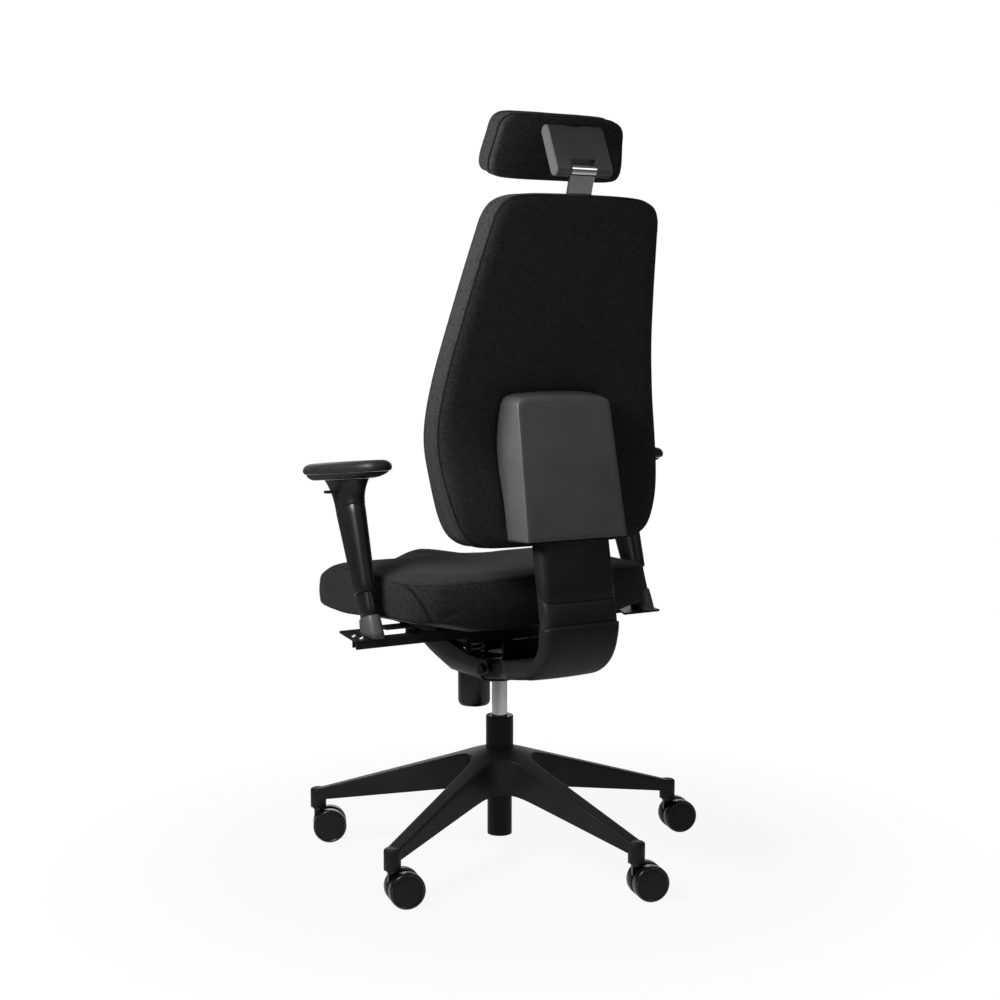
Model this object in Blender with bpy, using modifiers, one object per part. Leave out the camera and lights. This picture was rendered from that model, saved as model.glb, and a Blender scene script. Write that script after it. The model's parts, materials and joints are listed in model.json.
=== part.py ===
"""High-back office chair with headrest, arms, synchro mechanism, gas lift and five-star base.

Lengths are metres, +Z is up, the chair faces -Y and the sitter's left is +X. Sizes are given in the
chair's own frame, whose Z axis is the gas lift. The root empty moves that frame to COLUMN_AT, so that
the world's origin is on the floor under the middle of the whole chair.
"""

import math

import bmesh
import bpy
from mathutils import Matrix, Vector

# Frame and clearances
COLUMN_AT = (0.037, -0.020, 0.0)
MERGE = 0.0001
GAP = 0.0003
RUN = 0.0004
OVERRUN = 0.01
BEND_WEIGHT = 0.15

# Five-star base
LEG_COUNT = 5
LEG_FIRST_ANGLE = 28.3
CASTER_CIRCLE_R = 0.350
HUB_R = 0.036
HUB_TOP = 0.197
HUB_BOTTOM = 0.131
LEG_ROOT_R = 0.015
LEG_END_HALF = 0.0130
LEG_ROOT_HALF = 0.0170
LEG_FLARE = 0.019
LEG_FLARE_FROM = 0.050
LEG_FLARE_LENGTH = 0.013
LEG_TOP_ROOT = 0.2074
LEG_TOP_END = 0.0995
LEG_UNDER_ROOT = 0.1325
LEG_UNDER_END = 0.0800
LEG_EDGE = 0.006
LEG_WALL = 0.004
LEG_RIB = 0.003
SOCKET_R = 0.0146
SOCKET_TOP = 0.1012
SOCKET_BOTTOM = 0.0645
SOCKET_BORE_DEPTH = 0.028

# Casters
WHEEL_R = 0.031
WHEEL_WIDTH = 0.0205
WHEEL_RIM = 0.0045
WHEEL_FACE_RECESS = 0.0012
WHEEL_SPACING = 0.0096
WHEEL_STEPS = 18
CASTER_TRAIL = 0.021
CASTER_HEADINGS = (167.0, 165.0, 164.0, 160.0, 155.0)
CASTER_STEM_R = 0.0055
CASTER_SHROUD_R = 0.0100
CASTER_BODY_WIDTH = 0.0080
CASTER_AXLE_R = 0.0040
CASTER_BOSS_R = 0.0120

# Gas lift
TUBE_R = 0.025
TUBE_TOP = 0.258
TUBE_BOTTOM = 0.037
TUBE_LOWER_R = 0.0225
TAPER_TOP = HUB_TOP - 0.007
TAPER_BOTTOM = HUB_BOTTOM + 0.005
TUBE_WALL = 0.0022
TUBE_BUSH_LENGTH = 0.075
TUBE_END_PLATE = 0.004
CYLINDER_R = 0.014
CYLINDER_BOTTOM = 0.108
CYLINDER_TOP = 0.362
CYLINDER_TAPER_FROM = 0.324
CYLINDER_TOP_R = 0.0125
ROD_R = 0.005
ROD_TOP = 0.185
ROD_HEAD_R = 0.009
LIFT_DOWN = 0.055

# Mechanism
HOUSING_HALF = 0.065
HOUSING_WALL = 0.0055
HOUSING_FRONT = -0.240
HOUSING_REAR = 0.064
HOUSING_NOSE_FROM = -0.085
HOUSING_NOSE_RISE = 0.042
HOUSING_RIM_FRONT = 0.396
HOUSING_RIM_REAR = 0.374
HOUSING_FLOOR = 0.3275
HOUSING_CORNER = 0.032
COLUMN_BOSS_R = 0.0225
COLUMN_BOSS_TOP = 0.376
RECLINE_Y = 0.045
RECLINE_Z = 0.357
RECLINE_LUG_R = 0.0185
AXLE_R = 0.006
AXLE_HEAD_R = 0.010
AXLE_HEAD = 0.003
SEAT_PIVOT_Y = -0.205
SEAT_PIVOT_Z = 0.382
KNOB_Y = -0.093
KNOB_R = 0.0305
KNOB_TOP = 0.3265
KNOB_BOTTOM = 0.2595
KNOB_FLUTES = 8
KNOB_SCREW_R = 0.006
KNOB_SCREW_TOP = 0.384
SPRING_R = 0.0195
SPRING_WIRE_R = 0.0026
SPRING_TURNS = 4.5
LEVER_SHAFT_R = 0.0042
HEIGHT_LEVER_Y = -0.035
HEIGHT_LEVER_Z = 0.362
HEIGHT_LEVER_REACH = 0.250
TILT_LEVER_Y = -0.150
TILT_LEVER_Z = 0.364
TILT_LEVER_REACH = 0.205
LEVER_PADDLE = (0.055, 0.024, 0.007)

# Seat
SEAT_FRONT = -0.310
SEAT_REAR = 0.147
SEAT_HALF = 0.250
SEAT_BOTTOM = 0.4463
SEAT_EDGE = 0.529
SEAT_CROWN = 0.006
SEAT_FRONT_DROP = 0.036
SEAT_NOSE_DROP = 0.016
SEAT_NOSE_HALF = 0.13
SEAT_DROP_FROM = -0.15
SEAT_RING = 40
SEAT_LIFT = 0.019
SEAT_LIFT_FROM = SEAT_HALF - 0.145
SEAT_LIFT_SPAN = 0.115
PAN_BOTTOM = 0.4388
PAN_INSET = 0.016
CARRIER_HALF = SEAT_HALF - 0.128
CARRIER_FRONT = -0.235
CARRIER_REAR = 0.080
CARRIER_BOTTOM = 0.4135
CARRIER_FLANGE = 0.007
CARRIER_FLANGE_DEPTH = 0.008
CARRIER_RIB = 0.008
CARRIER_LUG = 0.012
CARRIER_LUG_R = 0.014
PAN_RAIL = 0.0055
PAN_RAIL_FRONT = -0.190
PAN_RAIL_REAR = -0.038
DEPTH_LEVER_AT = (CARRIER_HALF + 0.028, -0.075, 0.4260)
DEPTH_LEVER_REACH = 0.050
DEPTH_LEVER_WIDTH = 0.030
DEPTH_LEVER_BARREL_R = 0.0048
DEPTH_LEVER_PIN_R = 0.0025

# Back arm and upright
ARM_HALF = 0.0755
ARM_BOTTOM = 0.362
ARM_THICK = 0.036
ARM_OUTER_BEND = 0.095
ARM_INNER_BEND = 0.045
ARM_EDGE = 0.008
ARM_TONGUE_HALF = 0.055
ARM_TONGUE_REAR = 0.098
UPRIGHT_AT = (0.0, 0.2565, 0.490)
UPRIGHT_LEAN = 10.8
BAND_HALF = 0.0715
BAND_THICK = 0.030
BAND_CORNER = 0.010
BAND_FROM = -0.0225
BAND_TO = 0.0224
BAND_GROOVE = 0.0015
BAR_HALF = 0.032
BAR_THICK = 0.010
BAR_FROM = -0.016
BAR_TO = 0.305
COVER_TO = 0.1475
SLIDER_HALF = 0.055
SLIDER_FROM = 0.186
SLIDER_TO = 0.296
SLIDER_REAR = 0.011
SLIDER_FRONT = -0.085

# Slider cover
PLATE_BOTTOM = 0.609
PLATE_TOP = 0.847
PLATE_HALF_BOTTOM = 0.1000
PLATE_HALF_TOP = 0.0930
PLATE_REAR_BOTTOM = 0.2583
PLATE_REAR_SLOPE = -0.199
PLATE_WALL = 0.003
PLATE_EDGE = 0.006
PLATE_FRONT = 0.150

# Back
BACK_TOP = 1.179
BACK_BOTTOM = 0.594
BACK_CENTRE_Z = 0.870
BACK_RING = 40
BACK_PANEL_THICK = 0.0055
BACK_SIDE = 0.050
BACK_SIDE_LOW = 0.016
BACK_CROWN = 0.018
LUMBAR_Z = 0.760
LUMBAR_SPAN = 0.090
LUMBAR_CROWN = 0.010
DISH_DEPTH = 0.017
DISH_HALF = 0.135
DISH_Z = 0.745
DISH_SPAN = 0.100

# Headrest
HEAD_BAR_AT = (0.0, 0.256, 1.190)
HEAD_BAR_LEAN = 16.7
HEAD_BAR_HALF = 0.024
HEAD_BAR_THICK = 0.006
HEAD_BAR_FROM = -0.120
HEAD_PIN_Y = 0.262
HEAD_PIN_Z = 1.220
HEAD_PIN_R = 0.0060
HEAD_EYE_R = 0.0098
GUIDE_HALF = 0.031
GUIDE_THICK = 0.013
GUIDE_FROM = -0.062
GUIDE_TO = -0.010
LINK_HALF = 0.0552
LINK_THICK = 0.022
LINK_LENGTH = 0.069
LINK_LEAN = 23.6
LINK_NOTCH_HALF = 0.0265
LINK_NOTCH_TOP = 0.015
UPPER_PIN_R = 0.0050
UPPER_PIN_HALF = 0.044
UPPER_LUG_HALF = 0.014
PAD_LEAN = 18.0
PAD_AT = (0.0, 0.2005, 1.2575)
PAD_HALF = 0.131
PAD_HALF_HEIGHT = 0.054
PAD_PANEL_THICK = 0.010
PAD_SIDE = 0.050
PAD_CROWN = 0.012
PAD_RING = 32
MOUNT_HALF = 0.030
MOUNT_HALF_HEIGHT = 0.025
MOUNT_THICK = 0.004

# Arms
ARM_CLEAR = 0.033
ARM_X = SEAT_HALF + ARM_CLEAR
ARM_Y = 0.050
ARM_LEAN = 21.0
BRACKET_TOP = 0.437
BRACKET_HEIGHT = 0.0155
BRACKET_FRONT = -0.031
BRACKET_REAR = 0.071
BRACKET_SHEET = 0.004
BRACKET_INNER = 0.015
BRACKET_OUTER = ARM_X + 0.042
BRACKET_SKEW = 0.018
BRACKET_BAR = 0.025
BRACKET_FOOT = (ARM_X - 0.0565, ARM_X - 0.025)
POST_HALF = (0.0125, 0.0205)
HEAD_TOP = 0.7000
HEAD_HEIGHT = 0.0501
BOOT_LOW_HALF = (0.0168, 0.0255)
BOOT_TOP_HALF = (0.0152, 0.0232)
BOOT_TO = 0.034
SLEEVE_FROM = 0.077
SLEEVE_TO = (HEAD_TOP - HEAD_HEIGHT - BRACKET_TOP) / math.cos(math.radians(ARM_LEAN))
POST_TO = SLEEVE_TO - 0.043
SLEEVE_LOW_HALF = (0.0160, 0.0245)
SLEEVE_TOP_HALF = (0.0190, 0.0325)
SLEEVE_RING = 16
PAD_PITCH = 5.6
HEAD_TOP_HALF = (0.030, 0.056)
PAD_PLATE_THICK = 0.0105
PAD_PLATE_HALF = (0.042, 0.128)
PAD_SWIVEL_Y = -0.046
ARM_PAD_HALF = (0.045, 0.137)
ARM_PAD_THICK = 0.020
ARM_PAD_RING = 24
ARM_LEVER_Z = HEAD_TOP - 0.020
ARM_LEVER_BARREL_R = 0.0035
ARM_LEVER_WIDTH = 0.014
ARM_LEVER_REACH = 0.024


# Scene, materials and groups

for old in list(bpy.data.objects):
    bpy.data.objects.remove(old, do_unlink=True)

PARTS = bpy.data.collections.new("office_chair")
CUTTERS = bpy.data.collections.new("cutters")
for collection in (PARTS, CUTTERS):
    bpy.context.scene.collection.children.link(collection)

GROUP_AT = {}


def material(name, colour, roughness, metallic=0.0):
    """A Principled material with one colour."""
    made = bpy.data.materials.new(name)
    made.use_nodes = True
    shader = made.node_tree.nodes["Principled BSDF"]
    shader.inputs["Base Color"].default_value = (*colour, 1.0)
    shader.inputs["Roughness"].default_value = roughness
    shader.inputs["Metallic"].default_value = metallic
    made.diffuse_color = (*colour, 1.0)
    return made


NYLON = material("black_nylon", (0.012, 0.012, 0.013), 0.55)
SATIN = material("satin_plastic", (0.010, 0.010, 0.011), 0.30)
GLOSS = material("gloss_plastic", (0.010, 0.010, 0.011), 0.15)
GRAIN = material("grained_plastic", (0.085, 0.085, 0.087), 0.50)
SOFT = material("soft_pad", (0.014, 0.014, 0.015), 0.45)
FABRIC = material("black_fabric", (0.035, 0.035, 0.037), 0.95)
PAINT = material("black_paint", (0.014, 0.014, 0.015), 0.45)
STEEL = material("steel", (0.55, 0.55, 0.56), 0.35, 1.0)
CHROME = material("chrome", (0.80, 0.80, 0.81), 0.08, 1.0)


def group(name, at, parent=None):
    """An empty at a place given in the chair's frame, which carries the pieces of one body."""
    empty = bpy.data.objects.new(name, None)
    empty.empty_display_size = 0.05
    PARTS.objects.link(empty)
    GROUP_AT[name] = Vector(at)
    if parent:
        empty.parent = parent
        empty.location = Vector(at) - GROUP_AT[parent.name]
    else:
        empty.location = Vector(COLUMN_AT) + Vector(at)
    return empty


def place(obj, owner, at=(0, 0, 0), turn=(0, 0, 0)):
    """Parent an object to its body's empty, at a place in the chair's frame, turned in degrees."""
    obj.parent = owner
    obj.location = Vector(at) - GROUP_AT[owner.name]
    obj.rotation_euler = [math.radians(angle) for angle in turn]
    return obj


def add(name, mesh, finish, owner, at=(0, 0, 0), turn=(0, 0, 0)):
    """One piece: a named object with its own finish."""
    mesh.materials.clear()
    mesh.materials.append(finish)
    mesh.set_sharp_from_angle(angle=math.radians(35))
    piece = bpy.data.objects.new(name, mesh)
    PARTS.objects.link(piece)
    return place(piece, owner, at, turn)


def combine(piece, mesh, operation="DIFFERENCE", at=(0, 0, 0), turn=(0, 0, 0)):
    """Cut a piece by a mesh, or join the mesh to it, with a Boolean modifier."""
    tool = bpy.data.objects.new(f"{piece.name}_{operation.lower()}", mesh)
    CUTTERS.objects.link(tool)
    place(tool, piece.parent, at, turn)
    tool.hide_render = True
    tool.display_type = "WIRE"
    boolean = piece.modifiers.new(tool.name, "BOOLEAN")
    boolean.operation = operation
    boolean.solver = "EXACT"
    boolean.object = tool
    return piece


def bevel(piece, width, segments=2, angle=40):
    """Round the edges of a piece that are sharper than an angle."""
    rounding = piece.modifiers.new("Rounded edges", "BEVEL")
    rounding.width = width
    rounding.segments = segments
    rounding.limit_method = "ANGLE"
    rounding.angle_limit = math.radians(angle)
    return piece


# Mesh makers

def to_mesh(shape, smooth=True):
    """Turn a bmesh into a mesh with its faces pointing out."""
    bmesh.ops.recalc_face_normals(shape, faces=shape.faces)
    made = bpy.data.meshes.new("shape")
    shape.to_mesh(made)
    shape.free()
    if smooth:
        made.shade_smooth()
    return made


def box(low, high):
    """A box between two corners."""
    shape = bmesh.new()
    size = [top - bottom for bottom, top in zip(low, high)]
    middle = [(top + bottom) / 2 for bottom, top in zip(low, high)]
    place_box = Matrix.Translation(middle) @ Matrix.Diagonal((*size, 1.0))
    bmesh.ops.create_cube(shape, size=1.0, matrix=place_box)
    return to_mesh(shape, smooth=False)


def rod(radius, start, end, steps=16):
    """A round bar from one point to another."""
    shape = bmesh.new()
    along = Vector(end) - Vector(start)
    turn = along.to_track_quat("Z", "Y").to_matrix().to_4x4()
    spot = Matrix.Translation((Vector(start) + Vector(end)) / 2) @ turn
    bmesh.ops.create_cone(
        shape, cap_ends=True, segments=steps, radius1=radius, radius2=radius,
        depth=along.length, matrix=spot,
    )
    return to_mesh(shape)


def loft(rings, first_tip=None, last_tip=None):
    """Skin a row of rings with equal counts, closing each end flat or with a fan to a tip."""
    shape = bmesh.new()
    rows = [[shape.verts.new(point) for point in ring] for ring in rings]
    count = len(rows[0])
    for low, high in zip(rows, rows[1:]):
        for index in range(count):
            after = (index + 1) % count
            shape.faces.new((low[index], low[after], high[after], high[index]))
    for row, tip in ((rows[0], first_tip), (rows[-1], last_tip)):
        if tip is None:
            shape.faces.new(row)
            continue
        middle = shape.verts.new(tip)
        for index in range(count):
            shape.faces.new((row[index], row[(index + 1) % count], middle))
    return to_mesh(shape)


def triangulated(mesh):
    """Split a mesh into triangles, so that a copy of it is split along the same lines."""
    shape = bmesh.new()
    shape.from_mesh(mesh)
    bmesh.ops.triangulate(shape, faces=shape.faces[:])
    shape.to_mesh(mesh)
    shape.free()
    return mesh


def turned(profile, steps=24, closed=False):
    """A mesh turned about Z from (radius, height) points that run down the outer side."""
    outline = bpy.data.meshes.new("profile")
    edges = [(index, index + 1) for index in range(len(profile) - 1)]
    if closed:
        edges.append((len(profile) - 1, 0))
    outline.from_pydata([(radius, 0.0, height) for radius, height in profile], edges, [])
    holder = bpy.data.objects.new("profile", outline)
    CUTTERS.objects.link(holder)
    screw = holder.modifiers.new("Turn", "SCREW")
    screw.steps = steps
    screw.render_steps = steps
    screw.use_merge_vertices = True
    screw.merge_threshold = MERGE
    made = baked(holder)
    made.shade_smooth()
    return made


def baked(holder):
    """The evaluated mesh of a helper object, which is then removed."""
    bpy.context.view_layer.update()
    graph = bpy.context.evaluated_depsgraph_get()
    made = bpy.data.meshes.new_from_object(holder.evaluated_get(graph))
    bpy.data.objects.remove(holder, do_unlink=True)
    return made


def arc(centre, radius, start, end, count):
    """Points on an arc, with angles in degrees."""
    points = []
    for index in range(count):
        angle = math.radians(start + (end - start) * index / (count - 1))
        points.append((centre[0] + radius * math.cos(angle), centre[1] + radius * math.sin(angle)))
    return points


def rounded_rectangle(half_width, half_depth, corner, segments=3):
    """A closed outline of a rectangle with round corners."""
    points = []
    for turn, (side, end) in enumerate(((1, 1), (-1, 1), (-1, -1), (1, -1))):
        centre = (side * (half_width - corner), end * (half_depth - corner))
        points += arc(centre, corner, 90 * turn, 90 * turn + 90, segments + 1)
    return points


def oval(half, count, power=2.5):
    """A closed superellipse outline."""
    points = []
    for index in range(count):
        angle = 2 * math.pi * index / count
        across, along = math.cos(angle), math.sin(angle)
        x = half[0] * math.copysign(abs(across) ** (2 / power), across)
        y = half[1] * math.copysign(abs(along) ** (2 / power), along)
        points.append((x, y))
    return points


def curve_through(points, steps):
    """Catmull-Rom points through an open row of control points."""
    padded = [points[0]] + list(points) + [points[-1]]
    drawn = []
    for before, start, end, after in zip(padded, padded[1:], padded[2:], padded[3:]):
        for step in range(steps):
            drawn.append(catmull(before, start, end, after, step / steps))
    drawn.append(points[-1])
    return drawn


def catmull(before, start, end, after, t):
    """One Catmull-Rom point between start and end."""
    made = []
    for a, b, c, d in zip(before, start, end, after):
        made.append(
            b + 0.5 * t * (c - a + t * (2 * a - 5 * b + 4 * c - d + t * (3 * (b - c) + d - a)))
        )
    return tuple(made)


def mirrored_loop(half, count):
    """A closed outline from its +X half's control points, with points gathered where it bends."""
    right = curve_through(half, 12)
    left = [(-x, y) for x, y in reversed(right[1:-1])]
    loop = right + left
    marks = [0.0]
    for index, start in enumerate(loop):
        end, after = loop[(index + 1) % len(loop)], loop[(index + 2) % len(loop)]
        along = Vector(end) - Vector(start)
        bend = along.angle(Vector(after) - Vector(end), 0.0)
        marks.append(marks[-1] + along.length + BEND_WEIGHT * bend)
    points = []
    at = 0
    for index in range(count):
        wanted = marks[-1] * index / count
        while marks[at + 1] < wanted:
            at += 1
        share = (wanted - marks[at]) / (marks[at + 1] - marks[at])
        points.append(tuple(Vector(loop[at]).lerp(Vector(loop[(at + 1) % len(loop)]), share)))
    return points


def drawn_in(outline, inset):
    """An outline moved inwards along its normals."""
    count = len(outline)
    area = sum(a[0] * b[1] - b[0] * a[1] for a, b in zip(outline, outline[1:] + outline[:1]))
    side = math.copysign(1.0, area)
    moved = []
    for index, (x, y) in enumerate(outline):
        before, after = outline[index - 1], outline[(index + 1) % count]
        along = Vector((after[0] - before[0], after[1] - before[1])).normalized()
        moved.append((x - side * along.y * inset, y + side * along.x * inset))
    return moved


def shrunk(outline, centre, share):
    """An outline scaled towards a centre."""
    return [tuple(c + share * (p - c) for p, c in zip(point, centre)) for point in outline]


def smooth_step(t):
    """0 below 0, 1 above 1, with an S-curve between."""
    t = min(max(t, 0.0), 1.0)
    return t * t * (3 - 2 * t)


def blend(low, high, t):
    """The value a share of the way from low to high."""
    return low + (high - low) * t


# Five-star base

def leg_half(r):
    """Half width of a leg at a distance from the column, flaring into the hub."""
    taper = blend(LEG_ROOT_HALF, LEG_END_HALF, r / CASTER_CIRCLE_R)
    return taper + LEG_FLARE * math.exp(-max(r - LEG_FLARE_FROM, 0.0) / LEG_FLARE_LENGTH)


def leg_top(r):
    return blend(LEG_TOP_ROOT, LEG_TOP_END, r / CASTER_CIRCLE_R)


def leg_under(r):
    return blend(LEG_UNDER_ROOT, LEG_UNDER_END, r / CASTER_CIRCLE_R)


def star_stations():
    """Distances from the column at which the star's sections are drawn, close together in the flare."""
    flare = [LEG_FLARE_FROM + LEG_FLARE_LENGTH * step for step in (0.0, 0.5, 1.0, 1.7, 2.8)]
    return [LEG_ROOT_R, 0.6 * LEG_FLARE_FROM, *flare, 0.5 * CASTER_CIRCLE_R, CASTER_CIRCLE_R]


def star_section(r):
    """Half of a section across a leg at a distance from the column, and whether it meets its neighbours."""
    wedge = r * math.tan(math.pi / LEG_COUNT)
    half = min(leg_half(r), wedge)
    edge = LEG_EDGE * smooth_step(r / LEG_FLARE_FROM)
    top, under = leg_top(r), leg_under(r)
    points = [(half, under), (half, top - edge), (half - 0.3 * edge, top - 0.3 * edge), (half - edge, top)]
    return points, half == wedge


def star_shape():
    """Five legs and the webs between them in one skin: sections across a leg, copied round the column."""
    shape = bmesh.new()
    sections = [(r, *star_section(r)) for r in star_stations()]
    for index in range(LEG_COUNT):
        turn = Matrix.Rotation(math.radians(LEG_FIRST_ANGLE + index * 360 / LEG_COUNT), 3, "Z")
        rows = []
        for r, right, joined in sections:
            ring = right + [(-t, z) for t, z in reversed(right)]
            rows.append([shape.verts.new(turn @ Vector((r, t, z))) for t, z in ring])
        shape.faces.new(rows[0])
        shape.faces.new(rows[-1])
        for place_in_row, (low, high) in enumerate(zip(rows, rows[1:])):
            shared = sections[place_in_row + 1][2]
            for start, end in zip(range(8), (1, 2, 3, 4, 5, 6, 7, 0)):
                if shared and (start, end) in ((0, 1), (6, 7)):
                    continue
                shape.faces.new((low[start], low[end], high[end], high[start]))
    bmesh.ops.remove_doubles(shape, verts=shape.verts, dist=MERGE)
    return to_mesh(shape)


def leg_pocket(side):
    """The hollow under one leg, on one side of its middle rib."""
    rings = []
    start = LEG_FLARE_FROM + 1.3 * LEG_FLARE_LENGTH
    end = CASTER_CIRCLE_R - SOCKET_R - LEG_WALL
    for r in (start, start + 2 * LEG_FLARE_LENGTH, end):
        inner, outer = side * LEG_RIB / 2, side * (leg_half(r) - LEG_WALL)
        low, high = leg_under(r) - OVERRUN, leg_top(r) - LEG_WALL
        rings.append([(r, inner, low), (r, outer, low), (r, outer, high), (r, inner, high)])
    return loft(rings)


def caster_spot(index):
    """The stem axis of one caster, on the floor."""
    angle = math.radians(LEG_FIRST_ANGLE + index * 360 / LEG_COUNT)
    return Vector((CASTER_CIRCLE_R * math.cos(angle), CASTER_CIRCLE_R * math.sin(angle), 0.0))


def tube_radius(z):
    """Outer radius of the gas lift's tube: full above the hub, tapered inside it."""
    share = (TAPER_TOP - z) / (TAPER_TOP - TAPER_BOTTOM)
    return blend(TUBE_R, TUBE_LOWER_R, min(max(share, 0.0), 1.0))


def make_base(owner):
    edge = LEG_EDGE / 2
    base = add("five_star_base", star_shape(), NYLON, owner)
    hub = turned([
        (0.0, HUB_TOP), (HUB_R - edge, HUB_TOP), (HUB_R, HUB_TOP - edge),
        (HUB_R, HUB_BOTTOM), (0.0, HUB_BOTTOM),
    ])
    combine(base, hub, "UNION")
    socket_profile = [
        (0.0, SOCKET_TOP), (SOCKET_R - edge, SOCKET_TOP), (SOCKET_R, SOCKET_TOP - edge),
        (SOCKET_R, SOCKET_BOTTOM), (0.0, SOCKET_BOTTOM),
    ]
    bore_low, bore_top = SOCKET_BOTTOM - OVERRUN, SOCKET_BOTTOM + SOCKET_BORE_DEPTH
    for index in range(LEG_COUNT):
        turn = (0, 0, LEG_FIRST_ANGLE + index * 360 / LEG_COUNT)
        spot = caster_spot(index)
        combine(base, turned(socket_profile, 14), "UNION", spot, turn)
        for side in (-1, 1):
            combine(base, leg_pocket(side), turn=turn)
        combine(base, rod(CASTER_STEM_R + GAP, (0, 0, bore_low), (0, 0, bore_top), 10), at=spot, turn=turn)
    bore_ends = (HUB_TOP + OVERRUN, LEG_UNDER_ROOT - OVERRUN)
    bore = [(0.0, bore_ends[0])]
    for z in (bore_ends[0], TAPER_TOP, TAPER_BOTTOM, bore_ends[1]):
        bore.append((tube_radius(z) + GAP, z))
    bore.append((0.0, bore_ends[1]))
    combine(base, turned(bore))


# Casters

def wheel_shape():
    """A wheel with its axis on Z and its outer face up: tread, rim, recessed face and blind bore."""
    top, bottom = WHEEL_WIDTH, 0.0
    tread = WHEEL_R / math.cos(math.pi / WHEEL_STEPS)
    face = tread - WHEEL_RIM
    bore = CASTER_AXLE_R + GAP
    return turned([
        (0.0, top - WHEEL_FACE_RECESS),
        (face, top - WHEEL_FACE_RECESS),
        (face + WHEEL_FACE_RECESS, top),
        (tread, top - 2 * WHEEL_FACE_RECESS),
        (tread, bottom + WHEEL_FACE_RECESS),
        (tread - WHEEL_FACE_RECESS, bottom),
        (bore, bottom),
        (bore, top - WHEEL_RIM),
        (0.0, top - WHEEL_RIM),
    ], WHEEL_STEPS)


def caster_body_shape():
    """Stem, shroud, blade between the wheels and axle, with the stem on Z and the trail along +X."""
    shroud_low = WHEEL_R + math.sqrt(WHEEL_R ** 2 - (CASTER_TRAIL - CASTER_SHROUD_R - GAP) ** 2)
    shroud_low += 2 * GAP
    shroud_top = SOCKET_BOTTOM - GAP
    stem_top = SOCKET_BOTTOM + SOCKET_BORE_DEPTH - 2 * GAP
    holder = bpy.data.objects.new("caster_body", turned([
        (0.0, stem_top), (CASTER_STEM_R, stem_top), (CASTER_STEM_R, shroud_top),
        (CASTER_SHROUD_R, shroud_top), (CASTER_SHROUD_R, shroud_low), (0.0, shroud_low),
    ], 12))
    CUTTERS.objects.link(holder)
    low = arc((CASTER_TRAIL, WHEEL_R), CASTER_BOSS_R, -130, 50, 7)
    high = (shroud_low + shroud_top) / 2
    outline = [(-0.8 * CASTER_SHROUD_R, high), (-0.8 * CASTER_SHROUD_R, WHEEL_R + CASTER_BOSS_R)]
    outline += low + [(0.8 * CASTER_SHROUD_R, high)]
    half = CASTER_BODY_WIDTH / 2
    blade = loft([[(x, side, z) for x, z in outline] for side in (-half, half)])
    reach = WHEEL_SPACING / 2 + WHEEL_WIDTH - WHEEL_RIM - GAP
    axle = rod(CASTER_AXLE_R, (CASTER_TRAIL, -reach, WHEEL_R), (CASTER_TRAIL, reach, WHEEL_R), 12)
    tools = []
    for mesh in (blade, axle):
        tool = bpy.data.objects.new("caster_tool", mesh)
        CUTTERS.objects.link(tool)
        boolean = holder.modifiers.new("Join", "BOOLEAN")
        boolean.operation = "UNION"
        boolean.solver = "EXACT"
        boolean.object = tool
        tools.append(tool)
    made = baked(holder)
    for tool in tools:
        bpy.data.objects.remove(tool, do_unlink=True)
    made.shade_smooth()
    return made


def make_casters(owner):
    body_mesh = caster_body_shape()
    wheel_mesh = wheel_shape()
    for index, heading in enumerate(CASTER_HEADINGS):
        name = f"caster_{index + 1}"
        spot = caster_spot(index)
        swivel = group(f"{name}_swivel", spot, owner)
        add(f"{name}_body", body_mesh, GLOSS, swivel, spot, (0, 0, heading))
        trail = Matrix.Rotation(math.radians(heading), 3, "Z") @ Vector((1, 0, 0))
        side = Vector((-trail.y, trail.x, 0))
        axle_at = spot + CASTER_TRAIL * trail + Vector((0, 0, WHEEL_R))
        for letter, way in (("a", 1), ("b", -1)):
            inner = axle_at + way * (WHEEL_SPACING / 2) * side
            add(f"{name}_wheel_{letter}", wheel_mesh, GLOSS, swivel, inner, (-90 * way, 0, heading))


# Gas lift

def make_lift(base, turning, lifted):
    bore = TUBE_R - TUBE_WALL
    lower_bore = TUBE_LOWER_R - TUBE_WALL
    bush = CYLINDER_R + RUN
    bush_low = TUBE_TOP - TUBE_BUSH_LENGTH
    plate_top = TUBE_BOTTOM + TUBE_END_PLATE + OVERRUN
    plate_low = TUBE_BOTTOM + OVERRUN
    edge = TUBE_WALL / 2
    outer = [(TUBE_R - edge, TUBE_TOP), (TUBE_R, TUBE_TOP - edge)]
    outer += [(TUBE_R, TAPER_TOP), (TUBE_LOWER_R, TAPER_BOTTOM)]
    outer += [(TUBE_LOWER_R, TUBE_BOTTOM), (lower_bore, TUBE_BOTTOM), (lower_bore, plate_low)]
    inner = [
        (ROD_R + RUN, plate_low), (ROD_R + RUN, plate_top), (lower_bore, plate_top),
        (lower_bore, bush_low), (bush, bush_low), (bush, TUBE_TOP),
    ]
    add("gas_lift_tube", turned(outer + inner, closed=True), PAINT, base)

    head_low = plate_low - GAP - TUBE_END_PLATE
    add("gas_lift_rod", turned([
        (0.0, ROD_TOP), (ROD_R, ROD_TOP), (ROD_R, plate_low - GAP), (ROD_HEAD_R, plate_low - GAP),
        (ROD_HEAD_R, head_low), (0.0, head_low),
    ], 16), STEEL, turning)

    rod_room = ROD_TOP + LIFT_DOWN + 4 * RUN
    add("gas_lift_cylinder", turned([
        (0.0, CYLINDER_TOP), (CYLINDER_TOP_R, CYLINDER_TOP), (CYLINDER_R, CYLINDER_TAPER_FROM),
        (CYLINDER_R, CYLINDER_BOTTOM), (ROD_R + RUN, CYLINDER_BOTTOM), (ROD_R + RUN, rod_room),
        (0.0, rod_room),
    ]), CHROME, lifted)


# Mechanism

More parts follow.
